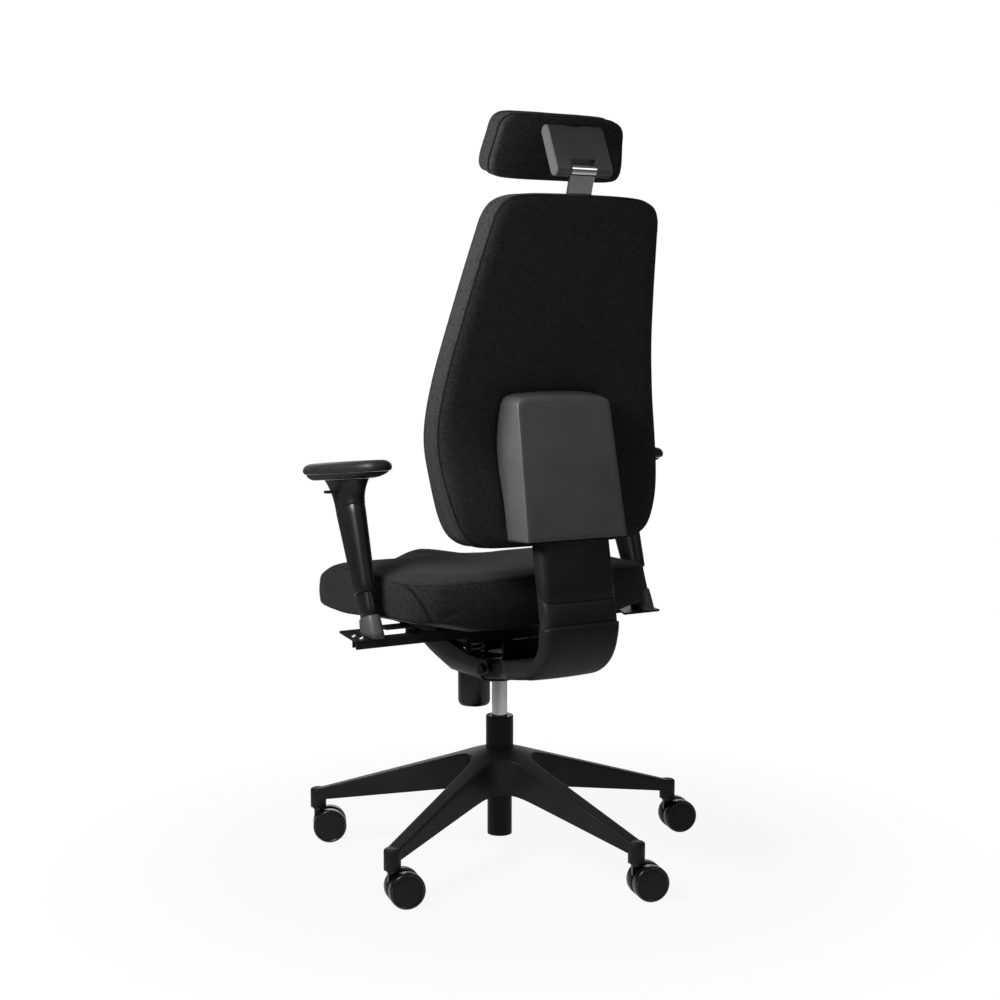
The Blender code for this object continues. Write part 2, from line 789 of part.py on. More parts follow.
def housing_under(y):
    """Height of the housing's underside: flat round the column, rising to the front and rear."""
    front = smooth_step((HOUSING_NOSE_FROM - y) / 0.16)
    rear = smooth_step((y - 0.03) / 0.04)
    return HOUSING_FLOOR + HOUSING_NOSE_RISE * front + 0.012 * rear


def housing_top(y):
    """Height of the housing's rim, falling to the rear so that the seat can tilt over it."""
    return blend(HOUSING_RIM_FRONT, HOUSING_RIM_REAR, smooth_step((y + 0.16) / 0.19))


def housing_half(y):
    """Half width of the housing, drawn in at the nose."""
    nose = smooth_step((-0.205 - y) / 0.05)
    return HOUSING_HALF - 0.016 * nose


HOUSING_STATIONS = (HOUSING_FRONT, -0.226, -0.195, -0.155, KNOB_Y, 0.0, 0.034, HOUSING_REAR)


def housing_ring(y, wall, lift):
    """A U-shaped section of the housing, drawn in by a wall and raised at the top by a lift."""
    half = housing_half(y) - wall
    under, top = housing_under(y) + wall, housing_top(y) + lift
    corner = HOUSING_CORNER - wall
    low = arc((half - corner, under + corner), corner, -90, 0, 4)
    right = low + [(half, top)]
    left = [(-x, z) for x, z in reversed(right)]
    return [(x, y, z) for x, z in right + left]


def make_mechanism(owner, knob, lever, lock):
    housing = add("mechanism_housing", loft([housing_ring(y, 0, 0) for y in HOUSING_STATIONS]), PAINT, owner)
    inside = [HOUSING_STATIONS[0] + HOUSING_WALL, *HOUSING_STATIONS[2:], HOUSING_REAR + OVERRUN]
    combine(housing, loft([housing_ring(y, HOUSING_WALL, OVERRUN) for y in inside]))
    inner = HOUSING_HALF - HOUSING_WALL
    rear_gap = box(
        (-inner, RECLINE_Y - RECLINE_LUG_R + 2 * GAP, HOUSING_FLOOR - OVERRUN),
        (inner, HOUSING_REAR + OVERRUN, COLUMN_BOSS_TOP + OVERRUN),
    )
    combine(housing, rear_gap)
    boss = rod(COLUMN_BOSS_R, (0, 0, HOUSING_FLOOR + HOUSING_WALL / 2), (0, 0, COLUMN_BOSS_TOP), 24)
    combine(housing, boss, "UNION")
    collar = rod(COLUMN_BOSS_R, (0, 0, CYLINDER_TAPER_FROM + 2 * GAP), (0, 0, HOUSING_FLOOR + GAP), 24)
    combine(housing, collar, "UNION")
    taper = turned([
        (0.0, CYLINDER_TOP + GAP), (CYLINDER_TOP_R + GAP, CYLINDER_TOP + GAP),
        (CYLINDER_R + GAP, CYLINDER_TAPER_FROM), (CYLINDER_R + GAP, CYLINDER_TAPER_FROM - OVERRUN),
        (0.0, CYLINDER_TAPER_FROM - OVERRUN),
    ])
    combine(housing, taper)
    reach = HOUSING_HALF + OVERRUN
    for y, z in ((RECLINE_Y, RECLINE_Z), (SEAT_PIVOT_Y, SEAT_PIVOT_Z)):
        combine(housing, rod(AXLE_R + GAP, (-reach, y, z), (reach, y, z)))
    for y, z in ((HEIGHT_LEVER_Y, HEIGHT_LEVER_Z), (TILT_LEVER_Y, TILT_LEVER_Z)):
        hole = rod(LEVER_SHAFT_R + 2 * RUN, (-reach, y, z), (-HOUSING_HALF / 2, y, z))
        combine(housing, hole)
    screw_hole = rod(KNOB_SCREW_R + RUN, (0, KNOB_Y, KNOB_BOTTOM), (0, KNOB_Y, KNOB_SCREW_TOP))
    combine(housing, screw_hole)

    make_axle("recline_axle", owner, HOUSING_HALF, RECLINE_Y, RECLINE_Z)
    seat_axle_half = HOUSING_HALF + GAP + CARRIER_LUG + GAP
    make_axle("seat_axle", owner, seat_axle_half, SEAT_PIVOT_Y, SEAT_PIVOT_Z)
    make_knob(knob)
    make_spring(owner)
    make_lever("height_lever", lever, HEIGHT_LEVER_Y, HEIGHT_LEVER_Z, HEIGHT_LEVER_REACH)
    make_lever("tilt_lever", lock, TILT_LEVER_Y, TILT_LEVER_Z, TILT_LEVER_REACH)


def make_axle(name, owner, half, y, z):
    """A steel axle along X with a flat head at each end."""
    inner = half + GAP
    outer = inner + AXLE_HEAD
    profile = [
        (0.0, outer), (AXLE_HEAD_R, outer), (AXLE_HEAD_R, inner), (AXLE_R, inner),
        (AXLE_R, -inner), (AXLE_HEAD_R, -inner), (AXLE_HEAD_R, -outer), (0.0, -outer),
    ]
    add(name, turned(profile, 16), PAINT, owner, (0, y, z), (0, 90, 0))


def make_knob(owner):
    """The fluted tension knob, rounded at the bottom, with its screw up into the housing."""
    edge = 0.3 * KNOB_R
    corner = arc((KNOB_R - edge, KNOB_BOTTOM + edge), edge, 0, -90, 4)
    profile = [
        (0.0, KNOB_SCREW_TOP), (KNOB_SCREW_R, KNOB_SCREW_TOP), (KNOB_SCREW_R, KNOB_TOP),
        (KNOB_R - 0.1 * edge, KNOB_TOP), (KNOB_R, KNOB_TOP - 0.1 * edge),
    ]
    knob = turned(profile + corner + [(0.0, KNOB_BOTTOM)], 4 * KNOB_FLUTES)
    for vertex in knob.vertices:
        radius = math.hypot(vertex.co.x, vertex.co.y)
        if radius > KNOB_R - 0.2 * edge:
            flute = 0.5 - 0.5 * math.cos(KNOB_FLUTES * math.atan2(vertex.co.y, vertex.co.x))
            share = 1 - 0.03 * flute
            vertex.co.x *= share
            vertex.co.y *= share
    for vertex in knob.vertices:
        vertex.co.z -= KNOB_TOP
    add("tension_knob", knob, SATIN, owner, (0, KNOB_Y, KNOB_TOP))


def make_spring(owner):
    """The tension spring, one unbroken coil round the knob's screw."""
    floor = housing_under(KNOB_Y) + HOUSING_WALL
    low = floor + SPRING_WIRE_R + GAP
    high = KNOB_SCREW_TOP - SPRING_WIRE_R
    per_turn = 8
    count = int(SPRING_TURNS * per_turn) + 1
    curve = bpy.data.curves.new("tension_spring", "CURVE")
    curve.dimensions = "3D"
    curve.bevel_depth = SPRING_WIRE_R
    curve.bevel_resolution = 1
    curve.use_fill_caps = True
    coil = curve.splines.new("POLY")
    coil.points.add(count - 1)
    for index, point in enumerate(coil.points):
        angle = 2 * math.pi * index / per_turn
        z = blend(low, high, index / (count - 1))
        point.co = (SPRING_R * math.cos(angle), SPRING_R * math.sin(angle), z, 1.0)
    least = (high - low) / SPRING_TURNS - 2 * SPRING_WIRE_R
    print(f"tension_spring: least gap between turns {1000 * least:.2f} mm")
    curve.materials.append(STEEL)
    spring = bpy.data.objects.new("tension_spring", curve)
    PARTS.objects.link(spring)
    place(spring, owner, (0, KNOB_Y, 0))


def make_lever(name, owner, y, z, reach):
    """A lever to the sitter's right: a round shaft through the housing wall and a flat paddle."""
    length, width, thick = LEVER_PADDLE
    inner = HOUSING_HALF - 3 * HOUSING_WALL
    neck = reach - length
    shaft = rod(LEVER_SHAFT_R, (-inner, 0, 0), (-neck - width / 2, 0, 0), 12)
    lever = add(name, shaft, SATIN, owner, (0, y, z))
    outline = rounded_rectangle(length / 2, width / 2, 0.45 * width, 4)
    rings = []
    for side, inset in ((-1, 0.2), (-0.5, 0), (0.5, 0), (1, 0.2)):
        ring = drawn_in(outline, inset * thick)
        rings.append([(px - neck - length / 2, py, side * thick / 2) for px, py in ring])
    combine(lever, loft(rings), "UNION", (0, y, z))


# Seat

def seat_outline():
    """Plan of the seat: broad, with round front corners and a slightly bowed rear."""
    half = [
        (0.0, SEAT_FRONT), (0.48 * SEAT_HALF, SEAT_FRONT + 0.001), (0.78 * SEAT_HALF, SEAT_FRONT + 0.010),
        (0.945 * SEAT_HALF, SEAT_FRONT + 0.050), (0.995 * SEAT_HALF, SEAT_FRONT + 0.130),
        (SEAT_HALF, SEAT_REAR - 0.180), (SEAT_HALF, SEAT_REAR - 0.090), (0.97 * SEAT_HALF, SEAT_REAR - 0.040),
        (0.84 * SEAT_HALF, SEAT_REAR - 0.009), (0.6 * SEAT_HALF, SEAT_REAR - 0.002), (0.0, SEAT_REAR),
    ]
    return mirrored_loop(half, SEAT_RING)


def seat_top(x, y):
    """Height of the seat's upper edge, falling to the waterfall front and more so at its corners."""
    span = SEAT_DROP_FROM - SEAT_FRONT
    drop = blend(SEAT_NOSE_DROP, SEAT_FRONT_DROP, smooth_step(abs(x) / SEAT_NOSE_HALF))
    return SEAT_EDGE - drop * smooth_step((SEAT_DROP_FROM - y) / span)


def seat_lift(x, y):
    """How far the seat's underside is raised towards its sides, less so at the front."""
    sides = smooth_step((abs(x) - SEAT_LIFT_FROM) / SEAT_LIFT_SPAN)
    return SEAT_LIFT * sides * blend(0.45, 1.0, smooth_step((y + 0.10) / 0.20))


def seat_underside(outline, centre, z):
    """The rings where seat pan and cushion meet, from the middle outwards, at a height under the middle."""
    plans = [shrunk(outline, centre, share) for share in (0.30, 0.55, 0.78)]
    plans.append(drawn_in(outline, PAN_INSET))
    return [[(x, y, z + seat_lift(x, y)) for x, y in plan] for plan in plans]


SEAT_SIDE = (
    (0.007, 0.0), (0.0015, 0.08), (0.0, 0.25), (0.004, 0.55), (0.001, 0.86), (0.003, 0.97), (0.012, 1.03),
)
SEAT_CROWN_RINGS = ((0.86, 0.75), (0.66, 1.0), (0.42, 0.9), (0.18, 0.8))


def make_seat(owner, carrier, lever):
    outline = seat_outline()
    centre = (0.0, (SEAT_FRONT + SEAT_REAR) / 2)
    rings = seat_underside(outline, centre, SEAT_BOTTOM)
    for inset, rise in SEAT_SIDE:
        ring = []
        for x, y in drawn_in(outline, inset):
            ring.append((x, y, blend(SEAT_BOTTOM + seat_lift(x, y), seat_top(x, y), rise)))
        rings.append(ring)
    for share, lift in SEAT_CROWN_RINGS:
        ring = shrunk(outline, centre, share)
        rings.append([(x, y, seat_top(x, y) + lift * SEAT_CROWN) for x, y in ring])
    tip = (*centre, seat_top(*centre) + 0.8 * SEAT_CROWN)
    add("seat_cushion", triangulated(loft(rings, (*centre, SEAT_BOTTOM), tip)), FABRIC, owner)

    make_pan(owner, outline, centre)
    make_carrier(carrier)
    make_depth_lever(lever)


def make_pan(owner, outline, centre):
    """The seat pan: a dished board under the cushion with side rails that hook under the carrier."""
    top = SEAT_BOTTOM - GAP
    middle = (top + PAN_BOTTOM) / 2
    upper = seat_underside(outline, centre, top)
    lower = seat_underside(outline, centre, PAN_BOTTOM)[:-1]
    edge = drawn_in(outline, 2 * PAN_INSET)
    lower.append([(x, y, PAN_BOTTOM + seat_lift(x, y)) for x, y in edge])
    board = loft(lower + upper[::-1], (*centre, PAN_BOTTOM), (*centre, top))
    pan = add("seat_pan", triangulated(board), NYLON, owner)
    web = CARRIER_HALF + RUN
    lip_top = PAN_BOTTOM - GAP - CARRIER_FLANGE_DEPTH - RUN
    lip = CARRIER_FLANGE - 2 * RUN
    for side in (-1, 1):
        outer = side * (web + PAN_RAIL)
        web_x = sorted((side * web, outer))
        lip_x = sorted((side * (web - lip), outer))
        rail_low = lip_top - PAN_RAIL
        wall = box((web_x[0], PAN_RAIL_FRONT, rail_low), (web_x[1], PAN_RAIL_REAR, middle))
        combine(pan, wall, "UNION")
        hook = box((lip_x[0], PAN_RAIL_FRONT, rail_low), (lip_x[1], PAN_RAIL_REAR, lip_top))
        combine(pan, hook, "UNION")
    x, y, z = DEPTH_LEVER_AT
    half = DEPTH_LEVER_WIDTH / 2
    lug = 2 * DEPTH_LEVER_BARREL_R
    for side in (-1, 1):
        near = y + side * (half + GAP)
        ends = sorted((near, near + side * PAN_RAIL))
        lug_top = middle + seat_lift(x, y)
        combine(pan, box((x - lug / 2, ends[0], z - lug / 2), (x + lug / 2, ends[1], lug_top)), "UNION")
    reach = half + PAN_RAIL + OVERRUN
    combine(pan, rod(DEPTH_LEVER_PIN_R + GAP, (x, y - reach, z), (x, y + reach, z), 12))


def make_carrier(owner):
    """The seat carrier: a casting with side flanges for the pan, a slot for the arm bars and front lugs."""
    top = PAN_BOTTOM - GAP
    body_half = CARRIER_HALF - CARRIER_FLANGE
    carrier = add(
        "seat_carrier",
        box((-body_half, CARRIER_FRONT, CARRIER_BOTTOM), (body_half, CARRIER_REAR, top)), PAINT, owner,
    )
    flange = box(
        (-CARRIER_HALF, CARRIER_FRONT, top - CARRIER_FLANGE_DEPTH), (CARRIER_HALF, CARRIER_REAR, top),
    )
    combine(carrier, flange, "UNION")
    lug_in = HOUSING_HALF + GAP
    lug_top = CARRIER_BOTTOM + HOUSING_WALL
    lug = arc((SEAT_PIVOT_Y, SEAT_PIVOT_Z), CARRIER_LUG_R, 180, 360, 9)
    lug += [(SEAT_PIVOT_Y + 1.5 * CARRIER_LUG_R, lug_top), (SEAT_PIVOT_Y - 1.5 * CARRIER_LUG_R, lug_top)]
    for side in (-1, 1):
        sides = (side * lug_in, side * (lug_in + CARRIER_LUG))
        combine(carrier, loft([[(x, y, z) for y, z in lug] for x in sides]), "UNION")
    reach = CARRIER_HALF + OVERRUN
    slot_low = BRACKET_TOP - BRACKET_HEIGHT - GAP
    for slot_from in (BRACKET_FRONT, BRACKET_REAR - BRACKET_BAR):
        slot_to = slot_from + BRACKET_BAR
        combine(carrier, box((-reach, slot_from - GAP, slot_low), (reach, slot_to + GAP, top + OVERRUN)))
    window_half = body_half - 0.035
    window_from, window_to = CARRIER_FRONT + 0.045, BRACKET_FRONT - 0.015
    rib = CARRIER_RIB
    between = BRACKET_FRONT + BRACKET_BAR + rib, BRACKET_REAR - BRACKET_BAR - rib
    windows = [
        (-window_half, window_half, window_from, window_to),
        (window_half + rib, body_half - rib, window_from, window_to),
        (-body_half + rib, -window_half - rib, window_from, window_to),
        (rib - lug_in, lug_in - rib, CARRIER_FRONT + rib, window_from - rib),
        (rib - body_half, body_half - rib, *between),
    ]
    for left, right, front, rear in windows:
        combine(carrier, box((left, front, CARRIER_BOTTOM - OVERRUN), (right, rear, top + OVERRUN)))
    axle = rod(
        AXLE_R + GAP, (-reach, SEAT_PIVOT_Y, SEAT_PIVOT_Z), (reach, SEAT_PIVOT_Y, SEAT_PIVOT_Z),
    )
    combine(carrier, axle)


def make_depth_lever(owner):
    """The paddle under the seat's left edge that frees the depth slide."""
    x, y, z = DEPTH_LEVER_AT
    half = DEPTH_LEVER_WIDTH / 2
    pin = half + PAN_RAIL
    lever = add(
        "seat_depth_lever", rod(DEPTH_LEVER_BARREL_R, (0, -half, 0), (0, half, 0), 12), SATIN, owner,
        DEPTH_LEVER_AT,
    )
    combine(lever, rod(DEPTH_LEVER_PIN_R, (0, -pin, 0), (0, pin, 0), 12), "UNION", DEPTH_LEVER_AT)
    thick = DEPTH_LEVER_BARREL_R / 2
    outline = rounded_rectangle(DEPTH_LEVER_REACH / 2, half, 0.3 * half, 3)
    middle = DEPTH_LEVER_REACH / 2
    paddle = loft([[(px + middle, py, side * thick) for px, py in outline] for side in (-1, 1)])
    combine(lever, paddle, "UNION", DEPTH_LEVER_AT)


# Back arm, upright and slider

def back_arm_outline():
    """Side view of the J-shaped arm in (y, z): round tongue, flat limb, bend and upright root."""
    lean = math.radians(UPRIGHT_LEAN)
    rear_y = UPRIGHT_AT[1] + BAND_THICK / 2 + 0.002
    top = UPRIGHT_AT[2] + BAND_FROM

    def rear_at(z):
        return rear_y - (z - UPRIGHT_AT[2]) * math.tan(lean)

    bend_z = ARM_BOTTOM + ARM_OUTER_BEND
    bend_y = rear_at(bend_z) - ARM_OUTER_BEND
    limb_top = ARM_BOTTOM + ARM_THICK
    inner_z = limb_top + ARM_INNER_BEND
    inner_y = rear_at(inner_z) - ARM_THICK - ARM_INNER_BEND
    points = arc((RECLINE_Y, RECLINE_Z), RECLINE_LUG_R, 80, 275, 10)
    points += arc((bend_y, bend_z), ARM_OUTER_BEND, -90, UPRIGHT_LEAN, 9)
    points += [(rear_at(top), top), (rear_at(top) - ARM_THICK, top)]
    points += arc((inner_y, inner_z), ARM_INNER_BEND, UPRIGHT_LEAN, -90, 6)
    points += [(RECLINE_Y + 0.055, RECLINE_Z + RECLINE_LUG_R + 0.006)]
    return points


def make_back_arm(owner):
    outline = back_arm_outline()
    shape = loft([[(side * ARM_HALF, y, z) for y, z in outline] for side in (-1, 1)])
    arm = bevel(add("back_arm", shape, SATIN, owner), ARM_EDGE, 3)
    reach = ARM_HALF + OVERRUN
    front, low, high = HOUSING_FRONT, ARM_BOTTOM - 0.1, ARM_BOTTOM + 0.1
    for side in (-1, 1):
        xs = sorted((side * ARM_TONGUE_HALF, side * reach))
        combine(arm, box((xs[0], front, low), (xs[1], ARM_TONGUE_REAR, high)))
    combine(arm, rod(AXLE_R + GAP, (-reach, RECLINE_Y, RECLINE_Z), (reach, RECLINE_Y, RECLINE_Z)))
    turn = (UPRIGHT_LEAN, 0, 0)
    neck_half = BAND_HALF - BAND_GROOVE
    neck = upright_prism(
        neck_half, BAND_THICK / 2 - BAND_GROOVE, BAND_CORNER, BAND_FROM - OVERRUN, BAND_FROM + BAND_GROOVE,
    )
    combine(arm, neck, "UNION", UPRIGHT_AT, turn)
    band = upright_prism(BAND_HALF, BAND_THICK / 2, BAND_CORNER, BAND_FROM + BAND_GROOVE - GAP, BAND_TO)
    combine(arm, band, "UNION", UPRIGHT_AT, turn)
    socket = upright_prism(BAR_HALF + GAP, BAR_THICK / 2 + GAP, MERGE, BAR_FROM - GAP, BAND_TO + OVERRUN, 1)
    combine(arm, socket, at=UPRIGHT_AT, turn=turn)

    bar = upright_prism(BAR_HALF, BAR_THICK / 2, 0.002, BAR_FROM, BAR_TO)
    add("back_upright", bar, STEEL, owner, UPRIGHT_AT, turn)
    cover = add(
        "back_arm_cover", upright_prism(BAND_HALF, BAND_THICK / 2, BAND_CORNER, BAND_TO + GAP, COVER_TO),
        NYLON, owner, UPRIGHT_AT, turn,
    )
    bore = upright_prism(BAR_HALF + GAP, BAR_THICK / 2 + GAP, MERGE, BAND_TO - OVERRUN, COVER_TO + OVERRUN, 1)
    combine(cover, bore, at=UPRIGHT_AT, turn=turn)


def upright_prism(half_width, half_depth, corner, low, high, segments=3):
    """A bar with round corners along the upright, between two heights of its own frame."""
    outline = rounded_rectangle(half_width, half_depth, corner, segments)
    return loft([[(x, y, z) for x, y in outline] for z in (low, high)])


def plate_half(z):
    return blend(PLATE_HALF_BOTTOM, PLATE_HALF_TOP, (z - PLATE_BOTTOM) / (PLATE_TOP - PLATE_BOTTOM))


def plate_ring(z, half, rear, front, edge):
    """A section of the slider cover: straight sides and a flat rear with chamfered edges."""
    right = [(half, front), (half, rear - edge), (half - 0.3 * edge, rear - 0.3 * edge), (half - edge, rear)]
    left = [(-x, y) for x, y in reversed(right)]
    return [(x, y, z) for x, y in right + left]


def make_slider(owner, panel_cutter):
    turn = (UPRIGHT_LEAN, 0, 0)
    middle = (SLIDER_REAR + SLIDER_FRONT) / 2
    half_depth = (SLIDER_REAR - SLIDER_FRONT) / 2
    outline = rounded_rectangle(SLIDER_HALF, half_depth, 0.006, 2)
    block = loft([[(x, y + middle, z) for x, y in outline] for z in (SLIDER_FROM, SLIDER_TO)])
    slider = add("back_slider", block, NYLON, owner, UPRIGHT_AT, turn)
    bore = upright_prism(
        BAR_HALF + RUN, BAR_THICK / 2 + RUN, MERGE, SLIDER_FROM - OVERRUN, SLIDER_TO + OVERRUN, 1,
    )
    combine(slider, bore, at=UPRIGHT_AT, turn=turn)
    combine(slider, panel_cutter, at=(0, GAP, 0))

    rings = []
    for z, inset in (
        (PLATE_BOTTOM, 0.0), (0.5 * (PLATE_BOTTOM + PLATE_TOP), 0.0), (PLATE_TOP - 0.012, 0.0),
        (PLATE_TOP - 0.004, 0.0025), (PLATE_TOP, 0.009),
    ):
        rear = PLATE_REAR_BOTTOM + PLATE_REAR_SLOPE * (z - PLATE_BOTTOM) - 0.5 * inset
        rings.append(plate_ring(z, plate_half(z) - inset, rear, PLATE_FRONT, PLATE_EDGE))
    cover = add("back_slider_cover", loft(rings), GRAIN, owner)
    hollow = []
    for z in (PLATE_BOTTOM - OVERRUN, PLATE_TOP - 0.008):
        rear = PLATE_REAR_BOTTOM + PLATE_REAR_SLOPE * (z - PLATE_BOTTOM) - PLATE_WALL
        hollow.append(plate_ring(z, plate_half(z) - PLATE_WALL, rear, PLATE_FRONT - OVERRUN, PLATE_EDGE))
    combine(cover, loft(hollow))
    combine(cover, panel_cutter, at=(0, GAP, 0))


# Back

BACK_HALF_OUTLINE = (
    (0.0, BACK_TOP), (0.096, BACK_TOP - 0.001), (0.138, BACK_TOP - 0.008), (0.159, BACK_TOP - 0.029),
    (0.169, 1.105), (0.193, 0.965), (0.2125, 0.855), (0.2215, 0.775), (0.2155, 0.705), (0.198, 0.640),
    (0.174, BACK_BOTTOM + 0.013), (0.131, BACK_BOTTOM + 0.002), (0.0, BACK_BOTTOM),
)
BACK_CURVE = (
    (0.590, 0.2065), (0.670, 0.1960), (0.780, 0.1743), (0.890, 0.1845), (1.030, 0.2230), (1.180, 0.2730),
)


def back_curve(z):
    """Depth of the back's rear edge at a height: forward at the lumbar, leaning back above it."""
    drawn = curve_through(BACK_CURVE, 16)
    for low, high in zip(drawn, drawn[1:]):
        if z <= high[0]:
            break
    return blend(low[1], high[1], (z - low[0]) / (high[0] - low[0]))


def back_rear(x, z):
    """Depth of the rear face, which is dished where the slider cover sits."""
    across = math.exp(-((x / DISH_HALF) ** 4))
    return back_curve(z) - DISH_DEPTH * across * math.exp(-(((z - DISH_Z) / DISH_SPAN) ** 2))


def rear_ring(outline, depth):
    """A ring at a distance from the dished rear face."""
    return [(x, back_rear(x, z) + depth, z) for x, z in outline]


def interface_rings(outline, centre, depth):
    """The rings where back panel and cushion meet, from the middle outwards."""
    rings = [rear_ring(shrunk(outline, centre, share), depth) for share in (0.2, 0.45, 0.7, 0.88)]
    rings.append(rear_ring(drawn_in(outline, 0.006), depth))
    return rings


def back_panel_mesh(outline, centre, thick):
    """The rear board: follows the cushion in front, with a rounded edge behind."""
    rings = interface_rings(outline, centre, -thick)
    for inset, share in ((0.0012, 0.92), (0.0004, 0.60), (0.0018, 0.25), (0.0055, 0.06)):
        rings.append(rear_ring(drawn_in(outline, inset), -share * BACK_PANEL_THICK))
    for share in (0.88, 0.70, 0.45, 0.20):
        rings.append(rear_ring(shrunk(outline, centre, share), 0.0))
    y = back_rear(0.0, centre[1])
    return triangulated(loft(rings, (0.0, y - thick, centre[1]), (0.0, y, centre[1])))


def front_depth(z, share, crown):
    """Depth of the cushion's side or front at a height: a share of the side, then a crown with lumbar."""
    side = BACK_SIDE + BACK_SIDE_LOW * smooth_step((0.74 - z) / 0.12)
    lumbar = LUMBAR_CROWN * math.exp(-(((z - LUMBAR_Z) / LUMBAR_SPAN) ** 2))
    return back_curve(z) - share * side - crown * (BACK_CROWN + lumbar)


def make_back(owner):
    outline = mirrored_loop(BACK_HALF_OUTLINE, BACK_RING)
    centre = (0.0, BACK_CENTRE_Z)
    panel = add("back_panel", back_panel_mesh(outline, centre, BACK_PANEL_THICK), FABRIC, owner)

    joint = -BACK_PANEL_THICK - GAP
    rings = interface_rings(outline, centre, joint)
    rings.append(rear_ring(drawn_in(outline, 0.0012), joint - 2 * GAP))
    for inset, share, crown in (
        (-0.0015, 0.30, 0.0), (0.0, 0.58, 0.0), (-0.0030, 0.86, 0.0), (-0.0010, 0.97, 0.06),
        (0.0080, 1.0, 0.28),
    ):
        ring = drawn_in(outline, inset)
        rings.append([(x, front_depth(z, share, crown), z) for x, z in ring])
    for scale, crown in ((0.82, 0.55), (0.62, 0.82), (0.40, 0.96), (0.18, 1.0)):
        ring = shrunk(outline, centre, scale)
        rings.append([(x, front_depth(z, 1.0, crown), z) for x, z in ring])
    first = (0.0, back_rear(0.0, centre[1]) + joint, centre[1])
    last = (0.0, front_depth(centre[1], 1.0, 1.0), centre[1])
    cushion = add("back_cushion", triangulated(loft(rings, first, last)), FABRIC, owner)

    turn = (-HEAD_BAR_LEAN, 0, 0)
    room = HEAD_BAR_THICK / 2 + 3 * RUN
    for piece in (panel, cushion):
        guide = upright_prism(GUIDE_HALF + GAP, GUIDE_THICK / 2 + GAP, MERGE, GUIDE_FROM - GAP, OVERRUN, 1)
        combine(piece, guide, at=HEAD_BAR_AT, turn=turn)
        slot = upright_prism(HEAD_BAR_HALF + 3 * RUN, room, MERGE, HEAD_BAR_FROM - 2 * OVERRUN, OVERRUN, 1)
        combine(piece, slot, at=HEAD_BAR_AT, turn=turn)
    guide = add(
        "headrest_guide", upright_prism(GUIDE_HALF, GUIDE_THICK / 2, 0.003, GUIDE_FROM, GUIDE_TO, 2), SATIN,
        owner, HEAD_BAR_AT, turn,
    )
    bore = upright_prism(
        HEAD_BAR_HALF + RUN, HEAD_BAR_THICK / 2 + RUN, MERGE, GUIDE_FROM - OVERRUN, GUIDE_TO + OVERRUN, 1,
    )
    combine(guide, bore, at=HEAD_BAR_AT, turn=turn)
    return back_panel_mesh(outline, centre, 2 * BACK_SIDE)


# Headrest

def make_headrest(bar_owner, link_owner, pad_owner):
    pin_at = (0, HEAD_PIN_Y, HEAD_PIN_Z)
    turn = (-HEAD_BAR_LEAN, 0, 0)
    bar_to = (HEAD_PIN_Z - HEAD_BAR_AT[2]) / math.cos(math.radians(HEAD_BAR_LEAN)) - HEAD_PIN_R
    bar = add(
        "headrest_bar", upright_prism(HEAD_BAR_HALF, HEAD_BAR_THICK / 2, 0.001, HEAD_BAR_FROM, bar_to, 1),
        CHROME, bar_owner, HEAD_BAR_AT, turn,
    )
    eye = rod(HEAD_EYE_R, (-HEAD_BAR_HALF, 0, 0), (HEAD_BAR_HALF, 0, 0), 20)
    combine(bar, eye, "UNION", pin_at)
    reach = HEAD_BAR_HALF + OVERRUN
    combine(bar, rod(HEAD_PIN_R + GAP, (-reach, 0, 0), (reach, 0, 0), 16), at=pin_at)
    pin_half = LINK_HALF - 0.004
    add("headrest_pin", rod(HEAD_PIN_R, (-pin_half, 0, 0), (pin_half, 0, 0), 16), CHROME, bar_owner, pin_at)

    lean = (LINK_LEAN, 0, 0)
    radius = LINK_THICK / 2
    profile = arc((0.0, 0.0), radius, 180, 360, 7) + arc((0.0, LINK_LENGTH), radius, 0, 180, 7)
    rings = []
    chamfer = 0.002
    inner = LINK_HALF - chamfer
    for x, inset in ((-LINK_HALF, chamfer), (-inner, 0), (inner, 0), (LINK_HALF, chamfer)):
        rings.append([(x, y, z) for y, z in drawn_in(profile, inset)])
    link = add("headrest_link", loft(rings), GRAIN, link_owner, pin_at, lean)
    notch = box((-LINK_NOTCH_HALF, -0.05, -0.05), (LINK_NOTCH_HALF, 0.05, LINK_NOTCH_TOP))
    combine(link, notch, at=pin_at, turn=lean)
    bore_half = pin_half + GAP
    combine(link, rod(HEAD_PIN_R + RUN, (-bore_half, 0, 0), (bore_half, 0, 0), 16), at=pin_at, turn=lean)
    upper = (UPPER_PIN_HALF + RUN, 0, LINK_LENGTH)
    upper_bore = rod(UPPER_PIN_R + RUN, (-upper[0], 0, LINK_LENGTH), upper, 16)
    combine(link, upper_bore, at=pin_at, turn=lean)
    lug_room = box(
        (-UPPER_LUG_HALF - 2 * RUN, -0.05, LINK_LENGTH - 0.026),
        (UPPER_LUG_HALF + 2 * RUN, UPPER_PIN_R + 0.004, LINK_LENGTH + 0.05),
    )
    combine(link, lug_room, at=pin_at, turn=lean)

    make_head_pad(pad_owner)


def upper_pivot():
    """The link's upper pivot in the chair's frame."""
    lean = math.radians(LINK_LEAN)
    return (0.0, HEAD_PIN_Y - LINK_LENGTH * math.sin(lean), HEAD_PIN_Z + LINK_LENGTH * math.cos(lean))


